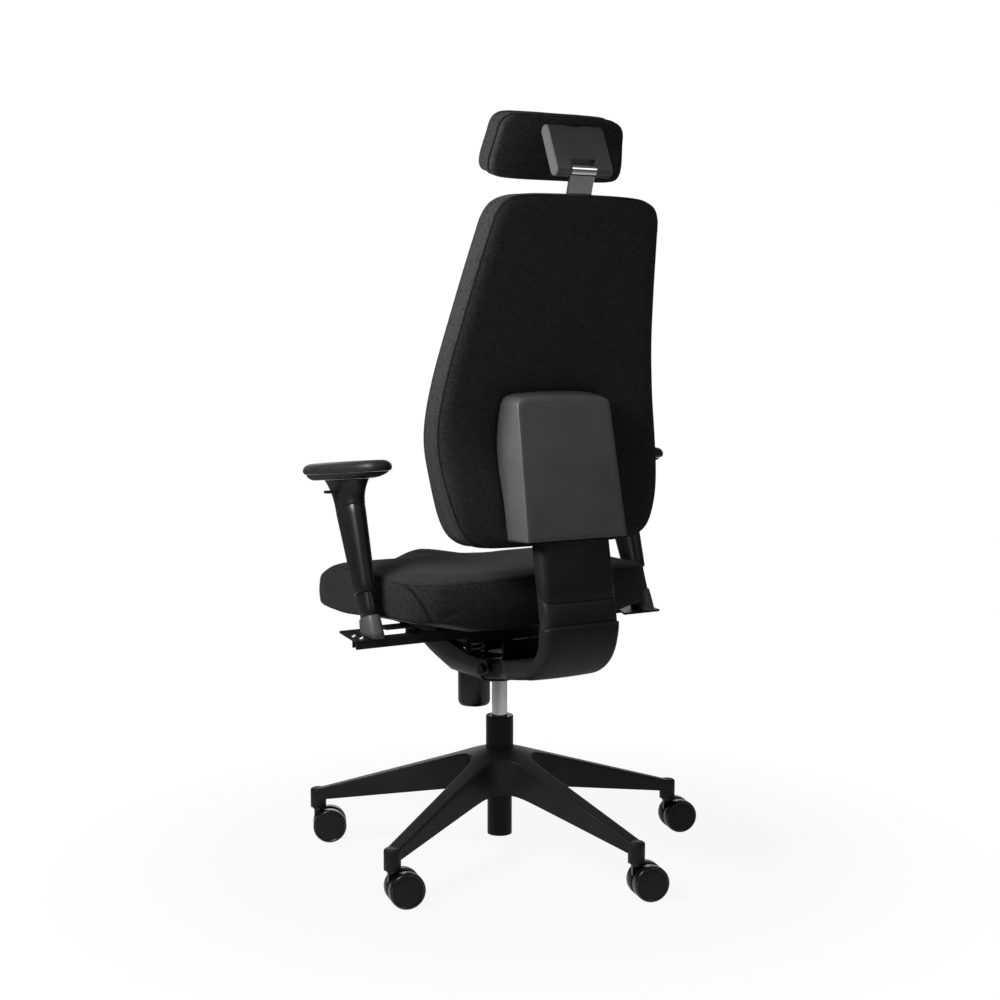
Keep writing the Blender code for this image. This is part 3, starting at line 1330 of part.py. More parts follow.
def make_head_pad(owner):
    turn = (-PAD_LEAN, 0, 0)
    half = [
        (0.0, 1.0), (0.66, 0.99), (0.84, 0.90), (0.925, 0.66), (0.955, 0.25), (0.985, -0.15), (1.0, -0.45),
        (0.985, -0.74), (0.90, -0.93), (0.62, -0.995), (0.0, -1.0),
    ]
    outline = mirrored_loop([(x * PAD_HALF, z * PAD_HALF_HEIGHT) for x, z in half], PAD_RING)
    joint = -PAD_PANEL_THICK

    def ring(points, depth):
        return [(x, depth, z) for x, z in points]

    def bowed(points, crown):
        return [(x, -PAD_SIDE - crown * PAD_CROWN, z) for x, z in points]

    shared = [shrunk(outline, (0, 0), share) for share in (0.4, 0.75)] + [drawn_in(outline, 0.005)]
    rings = [ring(points, joint) for points in shared]
    for inset, depth in ((0.0010, -0.0094), (0.0004, -0.0060), (0.0022, -0.0026), (0.0060, -0.0008)):
        rings.append(ring(drawn_in(outline, inset), depth))
    for share, depth in ((0.75, 0.0), (0.4, 0.0)):
        rings.append(ring(shrunk(outline, (0, 0), share), depth))
    panel = loft(rings)
    add("headrest_panel", panel, FABRIC, owner, PAD_AT, turn)

    rings = [ring(points, joint - GAP) for points in shared]
    rings.append(ring(drawn_in(outline, 0.0010), joint - GAP - 0.0006))
    for inset, share in ((0.0, 0.36), (0.0022, 0.62), (0.0006, 0.86)):
        rings.append(ring(drawn_in(outline, inset), -share * PAD_SIDE))
    for inset, crown in ((0.0040, 0.08), (0.0120, 0.35)):
        rings.append(bowed(drawn_in(outline, inset), crown))
    for share, crown in ((0.70, 0.75), (0.40, 1.0)):
        rings.append(bowed(shrunk(outline, (0, 0), share), crown))
    add("headrest_cushion", loft(rings), FABRIC, owner, PAD_AT, turn)

    pivot = upper_pivot()
    spot = Vector(pivot) - Vector(PAD_AT)
    lean = math.radians(PAD_LEAN)
    along = spot.y * math.sin(lean) + spot.z * math.cos(lean)
    out = spot.y * math.cos(lean) - spot.z * math.sin(lean)
    plate_at = along - MOUNT_HALF_HEIGHT + UPPER_PIN_R
    plate = [(x, z + plate_at) for x, z in rounded_rectangle(MOUNT_HALF, MOUNT_HALF_HEIGHT, 0.006, 2)]
    mount = add(
        "headrest_mount", loft([[(x, y, z) for x, z in plate] for y in (GAP, GAP + MOUNT_THICK)]),
        PAINT, owner,
        PAD_AT, turn,
    )
    lug = arc((out, along), UPPER_PIN_R + 0.003, -90, 90, 7)
    root, spread = MOUNT_THICK / 2, UPPER_PIN_R + 0.003
    lug = [(root, along - spread)] + lug + [(root, along + spread)]
    lug_mesh = loft([[(side * UPPER_LUG_HALF, y, z) for y, z in lug] for side in (-1, 1)])
    combine(mount, lug_mesh, "UNION", PAD_AT, turn)
    pin = rod(UPPER_PIN_R, (-UPPER_PIN_HALF, out, along), (UPPER_PIN_HALF, out, along), 16)
    combine(mount, pin, "UNION", PAD_AT, turn)


# Arms

def arm_section(half, along):
    """An oval section of the leaning arm, at a distance up its axis from the boot's foot."""
    return [(x, y, along) for x, y in oval(half, SLEEVE_RING)]


def make_arm(name, side, carried, sliding, trigger, swivel, pad):
    foot = (side * ARM_X, ARM_Y, BRACKET_TOP + GAP)
    lean = (ARM_LEAN, 0, 0)
    make_bracket(f"{name}_bracket", side, carried)

    below = -0.6 * BOOT_LOW_HALF[1]
    floor = box((-0.1, -0.1, -0.1), (0.1, 0.1, 0.0))
    shaft = loft([arm_section(POST_HALF, along) for along in (below, POST_TO)])
    post = add(f"{name}_post", shaft, SATIN, carried, foot, lean)
    combine(post, floor, at=foot)
    cuff = loft([
        arm_section(BOOT_LOW_HALF, below), arm_section(BOOT_LOW_HALF, 0.0),
        arm_section(BOOT_TOP_HALF, BOOT_TO),
    ])
    boot = add(f"{name}_boot", cuff, GRAIN, carried, foot, lean)
    bore_half = [half + GAP for half in POST_HALF]
    bore = [arm_section(bore_half, along) for along in (2 * below, BOOT_TO + OVERRUN)]
    combine(boot, loft(bore), at=foot, turn=lean)
    combine(boot, floor.copy(), at=foot)

    tube = loft([arm_section(SLEEVE_LOW_HALF, SLEEVE_FROM), arm_section(SLEEVE_TOP_HALF, SLEEVE_TO)])
    sleeve = add(f"{name}_sleeve", tube, SATIN, sliding, foot, lean)
    bore_half = [half + RUN for half in POST_HALF]
    bore = [arm_section(bore_half, along) for along in (SLEEVE_FROM - OVERRUN, SLEEVE_TO - 0.004)]
    combine(sleeve, loft(bore), at=foot, turn=lean)

    make_arm_head(name, side, sliding, trigger, foot)
    make_arm_pad(name, side, swivel, pad)


def make_bracket(name, side, owner):
    """An arm's bar: a channel along one edge with a flat foot; the right one is the left one turned about."""
    middle = (BRACKET_FRONT + BRACKET_REAR) / 2
    half = (BRACKET_REAR - BRACKET_FRONT) / 2
    bar = half - BRACKET_BAR
    outer = BRACKET_OUTER - BRACKET_SKEW * BRACKET_BAR / (2 * half)
    plate = [
        (BRACKET_INNER, bar), (BRACKET_FOOT[1], bar), (BRACKET_FOOT[0], -half),
        (BRACKET_OUTER - BRACKET_SKEW, -half), (BRACKET_OUTER, half), (BRACKET_INNER, half),
    ]
    block = [
        (BRACKET_INNER + GAP, bar + GAP), (outer - GAP, bar + GAP),
        (BRACKET_OUTER - 2 * GAP, half - GAP), (BRACKET_INNER + GAP, half - GAP),
    ]

    def upright(plan, low, high):
        return loft([[(side * x, side * y + middle, z) for x, y in plan] for z in (low, high)])

    low = BRACKET_TOP - BRACKET_HEIGHT
    under = BRACKET_TOP - BRACKET_SHEET
    bracket = add(name, upright(plate, under, BRACKET_TOP), PAINT, owner)
    combine(bracket, upright(block, low, under + BRACKET_SHEET / 2), "UNION")
    edges = sorted((side * (bar + BRACKET_SHEET) + middle, side * (half - BRACKET_SHEET) + middle))
    combine(bracket, box((-1.0, edges[0], low - OVERRUN), (1.0, edges[1], under - GAP)))


def make_arm_head(name, side, owner, trigger, foot):
    """The head: grows from the sleeve's leaning oval into a level oval flange under the pad."""
    lean = math.radians(ARM_LEAN)
    start = Vector((0, -SLEEVE_TO * math.sin(lean), SLEEVE_TO * math.cos(lean))) + Vector(foot)
    end = Vector((side * ARM_X, PAD_SWIVEL_Y, HEAD_TOP))
    rings = []
    for share in (0.0, 0.25, 0.5, 0.72, 0.88, 1.0):
        flare = share ** 2.2
        half = [blend(low, high, flare) for low, high in zip(SLEEVE_TOP_HALF, HEAD_TOP_HALF)]
        tilt = blend(math.radians(PAD_PITCH), lean, (1 - share) ** 1.5)
        middle = start.lerp(end, share)
        ring = []
        for x, y in oval(half, SLEEVE_RING):
            ring.append(Vector((x, y * math.cos(tilt), y * math.sin(tilt))) + middle - Vector(foot))
        rings.append(ring)
    rise = Vector((0, -math.sin(lean), math.cos(lean))) * GAP
    rings[0] = [point + rise for point in rings[0]]
    head = add(f"{name}_head", loft(rings), SATIN, owner, foot)

    share = (ARM_LEVER_Z - start.z) / (end.z - start.z)
    middle = start.lerp(end, share)
    half = blend(SLEEVE_TOP_HALF[0], HEAD_TOP_HALF[0], share ** 2.2)
    pivot = (side * (ARM_X + half - 0.002), middle.y, ARM_LEVER_Z)
    room = ARM_LEVER_WIDTH / 2 + RUN
    pocket_r = ARM_LEVER_BARREL_R + 2 * RUN
    pocket = arc((0.0, 0.0), pocket_r, 90, 270, 7) + [(0.05, -pocket_r), (0.05, pocket_r)]
    cutter = loft([[(side * px, y, pz) for px, pz in pocket] for y in (-room, room)])
    combine(head, cutter, at=pivot)

    half_width = ARM_LEVER_WIDTH / 2
    barrel = rod(ARM_LEVER_BARREL_R, (0, -half_width, 0), (0, half_width, 0), 12)
    lever = add(f"{name}_lever", barrel, SATIN, trigger, pivot)
    thick = 0.6 * ARM_LEVER_BARREL_R
    outline = rounded_rectangle(ARM_LEVER_REACH / 2, half_width, 0.4 * half_width, 3)
    middle = ARM_LEVER_REACH / 2
    blade = loft([[(side * (px + middle), py, way * thick) for px, py in outline] for way in (-1, 1)])
    combine(lever, blade, "UNION", pivot)


def on_head(height):
    """A place above the head's top on the pad's swivel axis, as (y, z)."""
    pitch = math.radians(PAD_PITCH)
    return PAD_SWIVEL_Y - height * math.sin(pitch), HEAD_TOP + height * math.cos(pitch)


def make_arm_pad(name, side, swivel, pad):
    x = side * ARM_X
    turn = (PAD_PITCH, 0, 0)
    outline = oval(PAD_PLATE_HALF, ARM_PAD_RING, 2.5)
    foot = [(0.72 * px, 0.72 * py - 0.12 * PAD_PLATE_HALF[1]) for px, py in outline]
    middle = [tuple(blend(a, b, 0.7) for a, b in zip(low, high)) for low, high in zip(foot, outline)]
    rings = [(foot, 0.0), (middle, 0.40), (outline, 0.85), (drawn_in(outline, 0.0006), 1.0)]
    plate = loft([[(px, py, rise * PAD_PLATE_THICK) for px, py in ring] for ring, rise in rings])
    add(f"{name}_pad_plate", plate, SATIN, swivel, (x, *on_head(GAP)), turn)

    outline = oval(ARM_PAD_HALF, ARM_PAD_RING, 2.6)
    rings = []
    for inset, rise in ((0.006, 0.0), (0.0012, 0.16), (0.0, 0.40), (0.0022, 0.68), (0.0085, 0.90)):
        rings.append([(px, py, rise * ARM_PAD_THICK) for px, py in drawn_in(outline, inset)])
    for share, rise in ((0.62, 0.98), (0.3, 1.0)):
        rings.append([(px, py, rise * ARM_PAD_THICK) for px, py in shrunk(outline, (0, 0), share)])
    add(f"{name}_pad", loft(rings), SOFT, pad, (x, *on_head(2 * GAP + PAD_PLATE_THICK)), turn)


# The whole chair

def make_chair():
    root = group("office_chair_root", (0, 0, 0))
    make_base(root)
    make_casters(root)
    turning = group("swivel", (0, 0, 0), root)
    lifted = group("seat_height", (0, 0, CYLINDER_BOTTOM), turning)
    make_lift(root, turning, lifted)
    knob = group("knob_axis", (0, KNOB_Y, KNOB_TOP), lifted)
    lever = group("height_lever_axis", (-HOUSING_HALF, HEIGHT_LEVER_Y, HEIGHT_LEVER_Z), lifted)
    lock = group("tilt_lever_axis", (-HOUSING_HALF, TILT_LEVER_Y, TILT_LEVER_Z), lifted)
    make_mechanism(lifted, knob, lever, lock)

    carrier = group("seat_tilt_axis", (0, SEAT_PIVOT_Y, SEAT_PIVOT_Z), lifted)
    seat = group("seat_slide", (0, 0, PAN_BOTTOM), carrier)
    depth_lever = group("depth_lever_axis", DEPTH_LEVER_AT, seat)
    make_seat(seat, carrier, depth_lever)

    recline = group("recline_axis", (0, RECLINE_Y, RECLINE_Z), lifted)
    make_back_arm(recline)
    back = group("back_slide", UPRIGHT_AT, recline)
    panel_cutter = make_back(back)
    make_slider(back, panel_cutter)

    bar = group("headrest_slide", HEAD_BAR_AT, back)
    link = group("headrest_link_axis", (0, HEAD_PIN_Y, HEAD_PIN_Z), bar)
    pad = group("headrest_pad_axis", upper_pivot(), link)
    make_headrest(bar, link, pad)

    for name, side in (("left_arm", 1), ("right_arm", -1)):
        foot = (side * ARM_X, ARM_Y, BRACKET_TOP)
        carried = group(f"{name}_width_slide", foot, carrier)
        sliding = group(f"{name}_height_slide", foot, carried)
        trigger = group(f"{name}_lever_axis", foot, sliding)
        swivel = group(f"{name}_pad_swivel", (side * ARM_X, PAD_SWIVEL_Y, HEAD_TOP), sliding)
        slide = group(f"{name}_pad_slide", (side * ARM_X, *on_head(PAD_PLATE_THICK)), swivel)
        make_arm(name, side, carried, sliding, trigger, swivel, slide)


make_chair()
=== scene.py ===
"""Looks of the office chair: camera, light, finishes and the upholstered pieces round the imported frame."""

import json
import math

import bpy
import numpy as np
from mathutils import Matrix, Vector


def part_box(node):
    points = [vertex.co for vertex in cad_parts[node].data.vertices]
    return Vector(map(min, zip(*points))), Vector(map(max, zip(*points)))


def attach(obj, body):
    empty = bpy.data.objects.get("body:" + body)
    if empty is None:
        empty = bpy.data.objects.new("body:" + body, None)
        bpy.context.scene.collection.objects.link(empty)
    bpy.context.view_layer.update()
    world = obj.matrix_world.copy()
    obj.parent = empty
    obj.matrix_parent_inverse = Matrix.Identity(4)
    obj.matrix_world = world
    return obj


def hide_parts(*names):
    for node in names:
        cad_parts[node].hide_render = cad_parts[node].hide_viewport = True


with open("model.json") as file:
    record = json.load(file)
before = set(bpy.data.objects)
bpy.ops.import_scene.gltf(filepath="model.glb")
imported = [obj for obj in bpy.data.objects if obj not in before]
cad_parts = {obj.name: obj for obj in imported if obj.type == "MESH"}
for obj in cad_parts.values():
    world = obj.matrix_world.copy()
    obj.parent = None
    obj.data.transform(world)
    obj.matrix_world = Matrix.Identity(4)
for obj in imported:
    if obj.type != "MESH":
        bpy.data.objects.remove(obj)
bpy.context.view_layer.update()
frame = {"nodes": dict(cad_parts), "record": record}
scene = bpy.context.scene
COLUMN = np.array((0.037, -0.020, 0.0))
CAMERA_AZIMUTH, CAMERA_ELEVATION, CAMERA_DISTANCE, CAMERA_LENS = 149.0, 5.875, 3.108, 61.96
TARGET_HEIGHT, TARGET_ASIDE = 0.6527, 0.0007


# Camera and lamps

def look_from(place, target):
    """The rotation that points -Z from a place to a target, with +Y up."""
    return (Vector(target) - Vector(place)).to_track_quat("-Z", "Y").to_euler()


def make_camera():
    """The photograph's viewpoint: about 31 degrees off the rear, a little above the seat back's middle."""
    azimuth, elevation = math.radians(CAMERA_AZIMUTH), math.radians(CAMERA_ELEVATION)
    level = math.cos(elevation)
    toward = np.array((math.sin(azimuth) * level, -math.cos(azimuth) * level, math.sin(elevation)))
    right = np.array((math.cos(azimuth), math.sin(azimuth), 0.0))
    target = COLUMN + np.array((0.0, 0.0, TARGET_HEIGHT)) + TARGET_ASIDE * right
    camera = bpy.data.objects.new("camera", bpy.data.cameras.new("camera"))
    scene.collection.objects.link(camera)
    camera.data.sensor_width = 36.0
    camera.data.lens = CAMERA_LENS
    camera.data.clip_end = 60.0
    camera.location = target + CAMERA_DISTANCE * toward
    camera.rotation_euler = look_from(camera.location, target)
    scene.camera = camera


def softbox(name, place, target, size, watts):
    """A rectangular area lamp of (width, height) that faces a target."""
    lamp = bpy.data.lights.new(name, "AREA")
    lamp.shape = "RECTANGLE"
    lamp.size, lamp.size_y = size
    lamp.energy = watts
    holder = bpy.data.objects.new(name, lamp)
    scene.collection.objects.link(holder)
    holder.location = place
    holder.rotation_euler = look_from(place, target)
    holder.visible_camera = False


def make_lights():
    """A small softbox on the sitter's left at the back's height and two wide ones, behind and in front."""
    softbox("key", (0.99, 0.22, 1.24), (0.20, 0.18, 1.16), (0.50, 0.40), 15.5)
    softbox("rear", (-0.95, 2.10, 2.15), (0.0, 0.0, 0.7), (1.3, 0.8), 5.5)
    softbox("front", (-0.90, -2.30, 1.00), (0.0, 0.0, 0.8), (1.4, 1.0), 5.5)


make_camera()
make_lights()
scene.view_settings.view_transform = "Standard"


# Shader building blocks

def new_finish(name, roughness, metallic=0.0):
    """A Principled material with its node tree, ready for a pattern."""
    made = bpy.data.materials.new(name)
    made.use_nodes = True
    shader = made.node_tree.nodes["Principled BSDF"]
    shader.inputs["Roughness"].default_value = roughness
    shader.inputs["Metallic"].default_value = metallic
    return made, made.node_tree, shader


def placed(tree, kind, source=None):
    """A node whose first vector is Object coordinates, or another vector."""
    made = tree.nodes.new(kind)
    if source is None:
        source = tree.nodes.new("ShaderNodeTexCoord").outputs["Object"]
    tree.links.new(source, made.inputs[0])
    return made


def noise(tree, scale, detail=3.0, source=None):
    """A noise value on Object coordinates, or on another vector."""
    texture = placed(tree, "ShaderNodeTexNoise", source)
    texture.inputs["Scale"].default_value = scale
    texture.inputs["Detail"].default_value = detail
    return texture.outputs["Fac"]


def ramp(tree, value, low, high, start=0.0, end=1.0):
    """A shade between two greys as a value goes from start to end."""
    made = tree.nodes.new("ShaderNodeValToRGB")
    made.color_ramp.elements[0].position = start
    made.color_ramp.elements[1].position = end
    for element, shade in zip(made.color_ramp.elements, (low, high)):
        element.color = (shade, shade, shade, 1.0)
    tree.links.new(value, made.inputs["Fac"])
    return made.outputs["Color"]


def math_node(tree, operation, first, second=None):
    """One Math node; numbers are set on its sockets and outputs are linked."""
    made = tree.nodes.new("ShaderNodeMath")
    made.operation = operation
    for socket, value in zip(made.inputs, (first, second)):
        if value is None:
            continue
        if isinstance(value, (int, float)):
            socket.default_value = value
        else:
            tree.links.new(value, socket)
    return made.outputs[0]


def vary(tree, shader, socket, value, low, high):
    """Let a noise value, mostly between 0.3 and 0.7, move a socket between two amounts."""
    tree.links.new(ramp(tree, value, low, high, 0.3, 0.7), shader.inputs[socket])


def bump(tree, shader, height, strength, distance):
    """Let a height value tilt the surface's normal."""
    made = tree.nodes.new("ShaderNodeBump")
    made.inputs["Strength"].default_value = strength
    made.inputs["Distance"].default_value = distance
    tree.links.new(height, made.inputs["Height"])
    tree.links.new(made.outputs["Normal"], shader.inputs["Normal"])


# Backdrop and floor

def ray_kinds(tree):
    """Two values: 1 for rays from the camera, and 1 for rays by reflection or through glass."""
    path = tree.nodes.new("ShaderNodeLightPath")
    bent = math_node(tree, "MAXIMUM", path.outputs["Is Glossy Ray"], path.outputs["Is Transmission Ray"])
    return path.outputs["Is Camera Ray"], bent


SCREEN_WAY = (-0.513, -0.853, -0.10)


def make_world():
    """A white backdrop; in reflections it is a white screen beyond the chair in an otherwise dim room."""
    world = bpy.data.worlds.new("studio")
    scene.world = world
    world.use_nodes = True
    tree = world.node_tree
    tree.nodes.clear()
    camera_ray, bent_ray = ray_kinds(tree)
    facing = placed(tree, "ShaderNodeVectorMath")
    facing.operation = "DOT_PRODUCT"
    facing.inputs[1].default_value = SCREEN_WAY
    screen = ramp(tree, facing.outputs["Value"], 0.10, 1.0, 0.80, 0.91)
    white = tree.nodes.new("ShaderNodeBackground")
    tree.links.new(math_node(tree, "MAXIMUM", screen, camera_ray), white.inputs["Color"])
    fill = tree.nodes.new("ShaderNodeBackground")
    fill.inputs["Color"].default_value = (1.0, 1.0, 1.0, 1.0)
    fill.inputs["Strength"].default_value = 0.06
    both = tree.nodes.new("ShaderNodeMixShader")
    out = tree.nodes.new("ShaderNodeOutputWorld")
    tree.links.new(math_node(tree, "MAXIMUM", camera_ray, bent_ray), both.inputs["Fac"])
    tree.links.new(fill.outputs[0], both.inputs[1])
    tree.links.new(white.outputs[0], both.inputs[2])
    tree.links.new(both.outputs[0], out.inputs["Surface"])


def make_floor():
    """Pale paper: it takes the chair's shadow near it and is plain white further out."""
    reach = 14.0
    corners = [(-reach, -reach, 0.0), (reach, -reach, 0.0), (reach, reach, 0.0), (-reach, reach, 0.0)]
    sheet = bpy.data.meshes.new("floor")
    sheet.from_pydata(corners, [], [(0, 1, 2, 3)])
    ground = bpy.data.objects.new("floor", sheet)
    scene.collection.objects.link(ground)
    paper, tree, shader = new_finish("floor_paper", 0.9)
    shader.inputs["Base Color"].default_value = (0.80, 0.80, 0.80, 1.0)
    shader.inputs["Specular IOR Level"].default_value = 0.1
    camera_ray, bent_ray = ray_kinds(tree)
    radius = placed(tree, "ShaderNodeVectorMath")
    radius.operation = "LENGTH"
    plain = ramp(tree, radius.outputs["Value"], 0.92, 1.0, 0.45, 0.90)
    # In reflections the paper glows, at 0.45 white within about 0.6 m of the chair and fading to 0.05 white
    # by 2 m: painted light on the floor near the chair.
    reflected_glow = ramp(tree, math_node(tree, "MULTIPLY", radius.outputs["Value"], 0.25), 0.45, 0.05, 0.15, 0.50)
    seen = math_node(tree, "MULTIPLY", plain, camera_ray)
    shown = math_node(tree, "MAXIMUM", seen, math_node(tree, "MULTIPLY", reflected_glow, bent_ray))
    glow = tree.nodes.new("ShaderNodeEmission")
    both = tree.nodes.new("ShaderNodeMixShader")
    tree.links.new(shown, both.inputs["Fac"])
    tree.links.new(shader.outputs[0], both.inputs[1])
    tree.links.new(glow.outputs[0], both.inputs[2])
    tree.links.new(both.outputs[0], tree.nodes["Material Output"].inputs["Surface"])
    sheet.materials.append(paper)


make_world()
make_floor()


# Fabric, plastics and metals

THREADS_A_METRE = 480.0


def woven_fabric():
    """Plain weave on the cloth's own map: half sine threads, uneven crossings, painted shade in the threads'
    hollows, and painted shade in the seams and joints.
    """
    made, tree, shader = new_finish("woven_black", 0.92)
    cloth = tree.nodes.new("ShaderNodeUVMap")
    cloth.uv_map = "cloth"
    split = tree.nodes.new("ShaderNodeSeparateXYZ")
    tree.links.new(cloth.outputs["UV"], split.inputs[0])
    across = math_node(tree, "MULTIPLY", split.outputs[0], THREADS_A_METRE)
    along = math_node(tree, "MULTIPLY", split.outputs[1], THREADS_A_METRE)
    warp = math_node(tree, "SINE", math_node(tree, "MULTIPLY", math_node(tree, "FRACT", across), math.pi))
    weft = math_node(tree, "SINE", math_node(tree, "MULTIPLY", math_node(tree, "FRACT", along), math.pi))
    column, row = math_node(tree, "FLOOR", across), math_node(tree, "FLOOR", along)
    over = math_node(tree, "FLOORED_MODULO", math_node(tree, "ADD", column, row), 2.0)
    under = math_node(tree, "SUBTRACT", 1.0, over)
    height = math_node(
        tree, "ADD", math_node(tree, "MULTIPLY", warp, over), math_node(tree, "MULTIPLY", weft, under),
    )
    crossing = tree.nodes.new("ShaderNodeCombineXYZ")
    tree.links.new(column, crossing.inputs[0])
    tree.links.new(row, crossing.inputs[1])
    speck = tree.nodes.new("ShaderNodeTexWhiteNoise")
    speck.noise_dimensions = "2D"
    tree.links.new(crossing.outputs[0], speck.inputs["Vector"])
    mottle = noise(tree, 240.0, 2.0)
    worn = noise(tree, 9.0, 3.0)
    # The threads' height also goes into the colour: crowns lighter, hollows between threads darker, a painted
    # shade of the weave.
    value = math_node(tree, "MULTIPLY", height, 0.30)
    for part, share in ((speck.outputs["Value"], 0.55), (mottle, 0.55), (worn, 0.20)):
        value = math_node(tree, "ADD", value, math_node(tree, "MULTIPLY", part, share))
    # The seam attribute darkens the colour in seam grooves and where cover pieces meet: painted shade.
    seam = tree.nodes.new("ShaderNodeAttribute")
    seam.attribute_name = "seam"
    value = math_node(tree, "SUBTRACT", value, seam.outputs["Fac"])
    tree.links.new(ramp(tree, value, 0.004, 0.036, 0.30, 1.0), shader.inputs["Base Color"])
    shader.inputs["Sheen Weight"].default_value = 0.06
    shader.inputs["Sheen Roughness"].default_value = 0.45
    shader.inputs["Specular IOR Level"].default_value = 0.2
    bump(tree, shader, math_node(tree, "ADD", height, math_node(tree, "MULTIPLY", mottle, 0.8)), 0.5, 0.0005)
    return made


def grained_plastic():
    """Spark-eroded moulding: fine cells in the gloss and the surface."""
    made, tree, shader = new_finish("grained_charcoal", 0.5)
    cells = placed(tree, "ShaderNodeTexVoronoi")
    cells.inputs["Scale"].default_value = 900.0
    grain = noise(tree, 1500.0, 2.0)
    cloud = noise(tree, 14.0, 3.0)
    vary(tree, shader, "Base Color", cloud, 0.092, 0.112)
    vary(tree, shader, "Roughness", grain, 0.38, 0.50)
    shader.inputs["Specular IOR Level"].default_value = 0.45
    bump(tree, shader, math_node(tree, "ADD", cells.outputs["Distance"], grain), 0.25, 0.0003)
    return made


def moulded_plastic(name, shade, gloss, speckle=0.02, scale=260.0):
    """Plain moulded plastic: slightly uneven gloss and a very soft waviness."""
    made, tree, shader = new_finish(name, gloss)
    cloud = noise(tree, 11.0, 3.0)
    flow = noise(tree, scale, 2.0)
    vary(tree, shader, "Base Color", cloud, 0.85 * shade, 1.2 * shade)
    vary(tree, shader, "Roughness", flow, gloss - speckle, gloss + speckle)
    bump(tree, shader, flow, 0.08, 0.0002)
    return made


def filled_nylon():
    """Glass-filled nylon: short fibres show as fine streaks in a matte surface."""
    made, tree, shader = new_finish("filled_nylon", 0.5)
    fibres = noise(tree, 520.0, 4.0)
    cloud = noise(tree, 18.0, 3.0)
    vary(tree, shader, "Base Color", cloud, 0.014, 0.022)
    vary(tree, shader, "Roughness", fibres, 0.42, 0.60)
    shader.inputs["Specular IOR Level"].default_value = 0.22
    bump(tree, shader, fibres, 0.18, 0.0003)
    return made


def foam_skin():
    """Self-skinned foam of the arm pads: pores and a leathery grain."""
    made, tree, shader = new_finish("foam_skin", 0.42)
    grain = placed(tree, "ShaderNodeTexVoronoi")
    grain.feature = "DISTANCE_TO_EDGE"
    grain.inputs["Scale"].default_value = 620.0
    creases = ramp(tree, grain.outputs["Distance"], 0.0, 1.0, 0.0, 0.25)
    cloud = noise(tree, 25.0, 3.0)
    vary(tree, shader, "Base Color", cloud, 0.016, 0.026)
    vary(tree, shader, "Roughness", cloud, 0.40, 0.52)
    shader.inputs["Specular IOR Level"].default_value = 0.35
    bump(tree, shader, creases, 0.18, 0.0003)
    return made


def powder_coat():
    """Powder coat: orange peel and an even semi-matte gloss."""
    made, tree, shader = new_finish("powder_coat", 0.42)
    peel = noise(tree, 420.0, 1.0)
    cloud = noise(tree, 9.0, 3.0)
    vary(tree, shader, "Base Color", cloud, 0.012, 0.018)
    vary(tree, shader, "Roughness", peel, 0.36, 0.46)
    shader.inputs["Specular IOR Level"].default_value = 0.14
    bump(tree, shader, peel, 0.15, 0.0003)
    return made


def bright_metal(name, shade, gloss, stretch):
    """Plated or drawn metal: faint lines along Z in its gloss."""
    made, tree, shader = new_finish(name, gloss, 1.0)
    drawn = placed(tree, "ShaderNodeMapping")
    drawn.inputs["Scale"].default_value = (1.0, 1.0, stretch)
    lines = noise(tree, 700.0, 2.0, drawn.outputs["Vector"])
    haze = noise(tree, 30.0, 2.0)
    vary(tree, shader, "Base Color", haze, 0.94 * shade, shade)
    vary(tree, shader, "Roughness", lines, 0.7 * gloss, 1.4 * gloss)
    return made


FINISH = {
    "fabric": woven_fabric(),
    "grained_plastic": grained_plastic(),
    "satin_plastic": moulded_plastic("satin_black", 0.008, 0.36),
    "caster_plastic": moulded_plastic("gloss_black", 0.010, 0.28, 0.03, 60.0),
    "nylon": filled_nylon(),
    "soft_pad": foam_skin(),
    "black_paint": powder_coat(),
    "steel": bright_metal("drawn_steel", 0.66, 0.30, 0.05),
    "chrome": bright_metal("chrome", 0.80, 0.10, 0.2),
}


def edge_soften():
    """A node group for solids of loose triangles: join them, then shade smooth except over sharp edges."""
    group = bpy.data.node_groups.new("edge_soften", "GeometryNodeTree")
    group.interface.new_socket("Geometry", in_out="INPUT", socket_type="NodeSocketGeometry")
    group.interface.new_socket("Geometry", in_out="OUTPUT", socket_type="NodeSocketGeometry")
    nodes, links = group.nodes, group.links
    start, end = nodes.new("NodeGroupInput"), nodes.new("NodeGroupOutput")
    join = nodes.new("GeometryNodeMergeByDistance")
    join.inputs["Distance"].default_value = 0.00001
    faces = nodes.new("GeometryNodeSetShadeSmooth")
    edges = nodes.new("GeometryNodeSetShadeSmooth")
    edges.domain = "EDGE"
    edges.inputs["Shade Smooth"].default_value = False
    angle = nodes.new("GeometryNodeInputMeshEdgeAngle")
    sharp = nodes.new("FunctionNodeCompare")
    sharp.inputs["B"].default_value = math.radians(32.0)
    links.new(start.outputs[0], join.inputs["Geometry"])
    links.new(join.outputs["Geometry"], faces.inputs["Geometry"])
    links.new(faces.outputs["Geometry"], edges.inputs["Geometry"])
    links.new(angle.outputs["Unsigned Angle"], sharp.inputs["A"])
    links.new(sharp.outputs["Result"], edges.inputs["Selection"])
    links.new(edges.outputs["Geometry"], end.inputs[0])
    return group


SOFTEN = edge_soften()


def dress_solids():
    """Give each solid of the frame its finish and soft shading."""
    for part in frame["record"]["subparts"]:
        solid = frame["nodes"][part["node"]]
        solid.data.materials.clear()
        solid.data.materials.append(FINISH[part["material_slot"]])
        solid.modifiers.new("edge_soften", "NODES").node_group = SOFTEN


dress_solids()


# Surfaces

def smooth_step(t):
    """0 below 0, 1 above 1, and 3t^2 - 2t^3 between."""
    t = np.clip(t, 0.0, 1.0)
    return t * t * (3 - 2 * t)


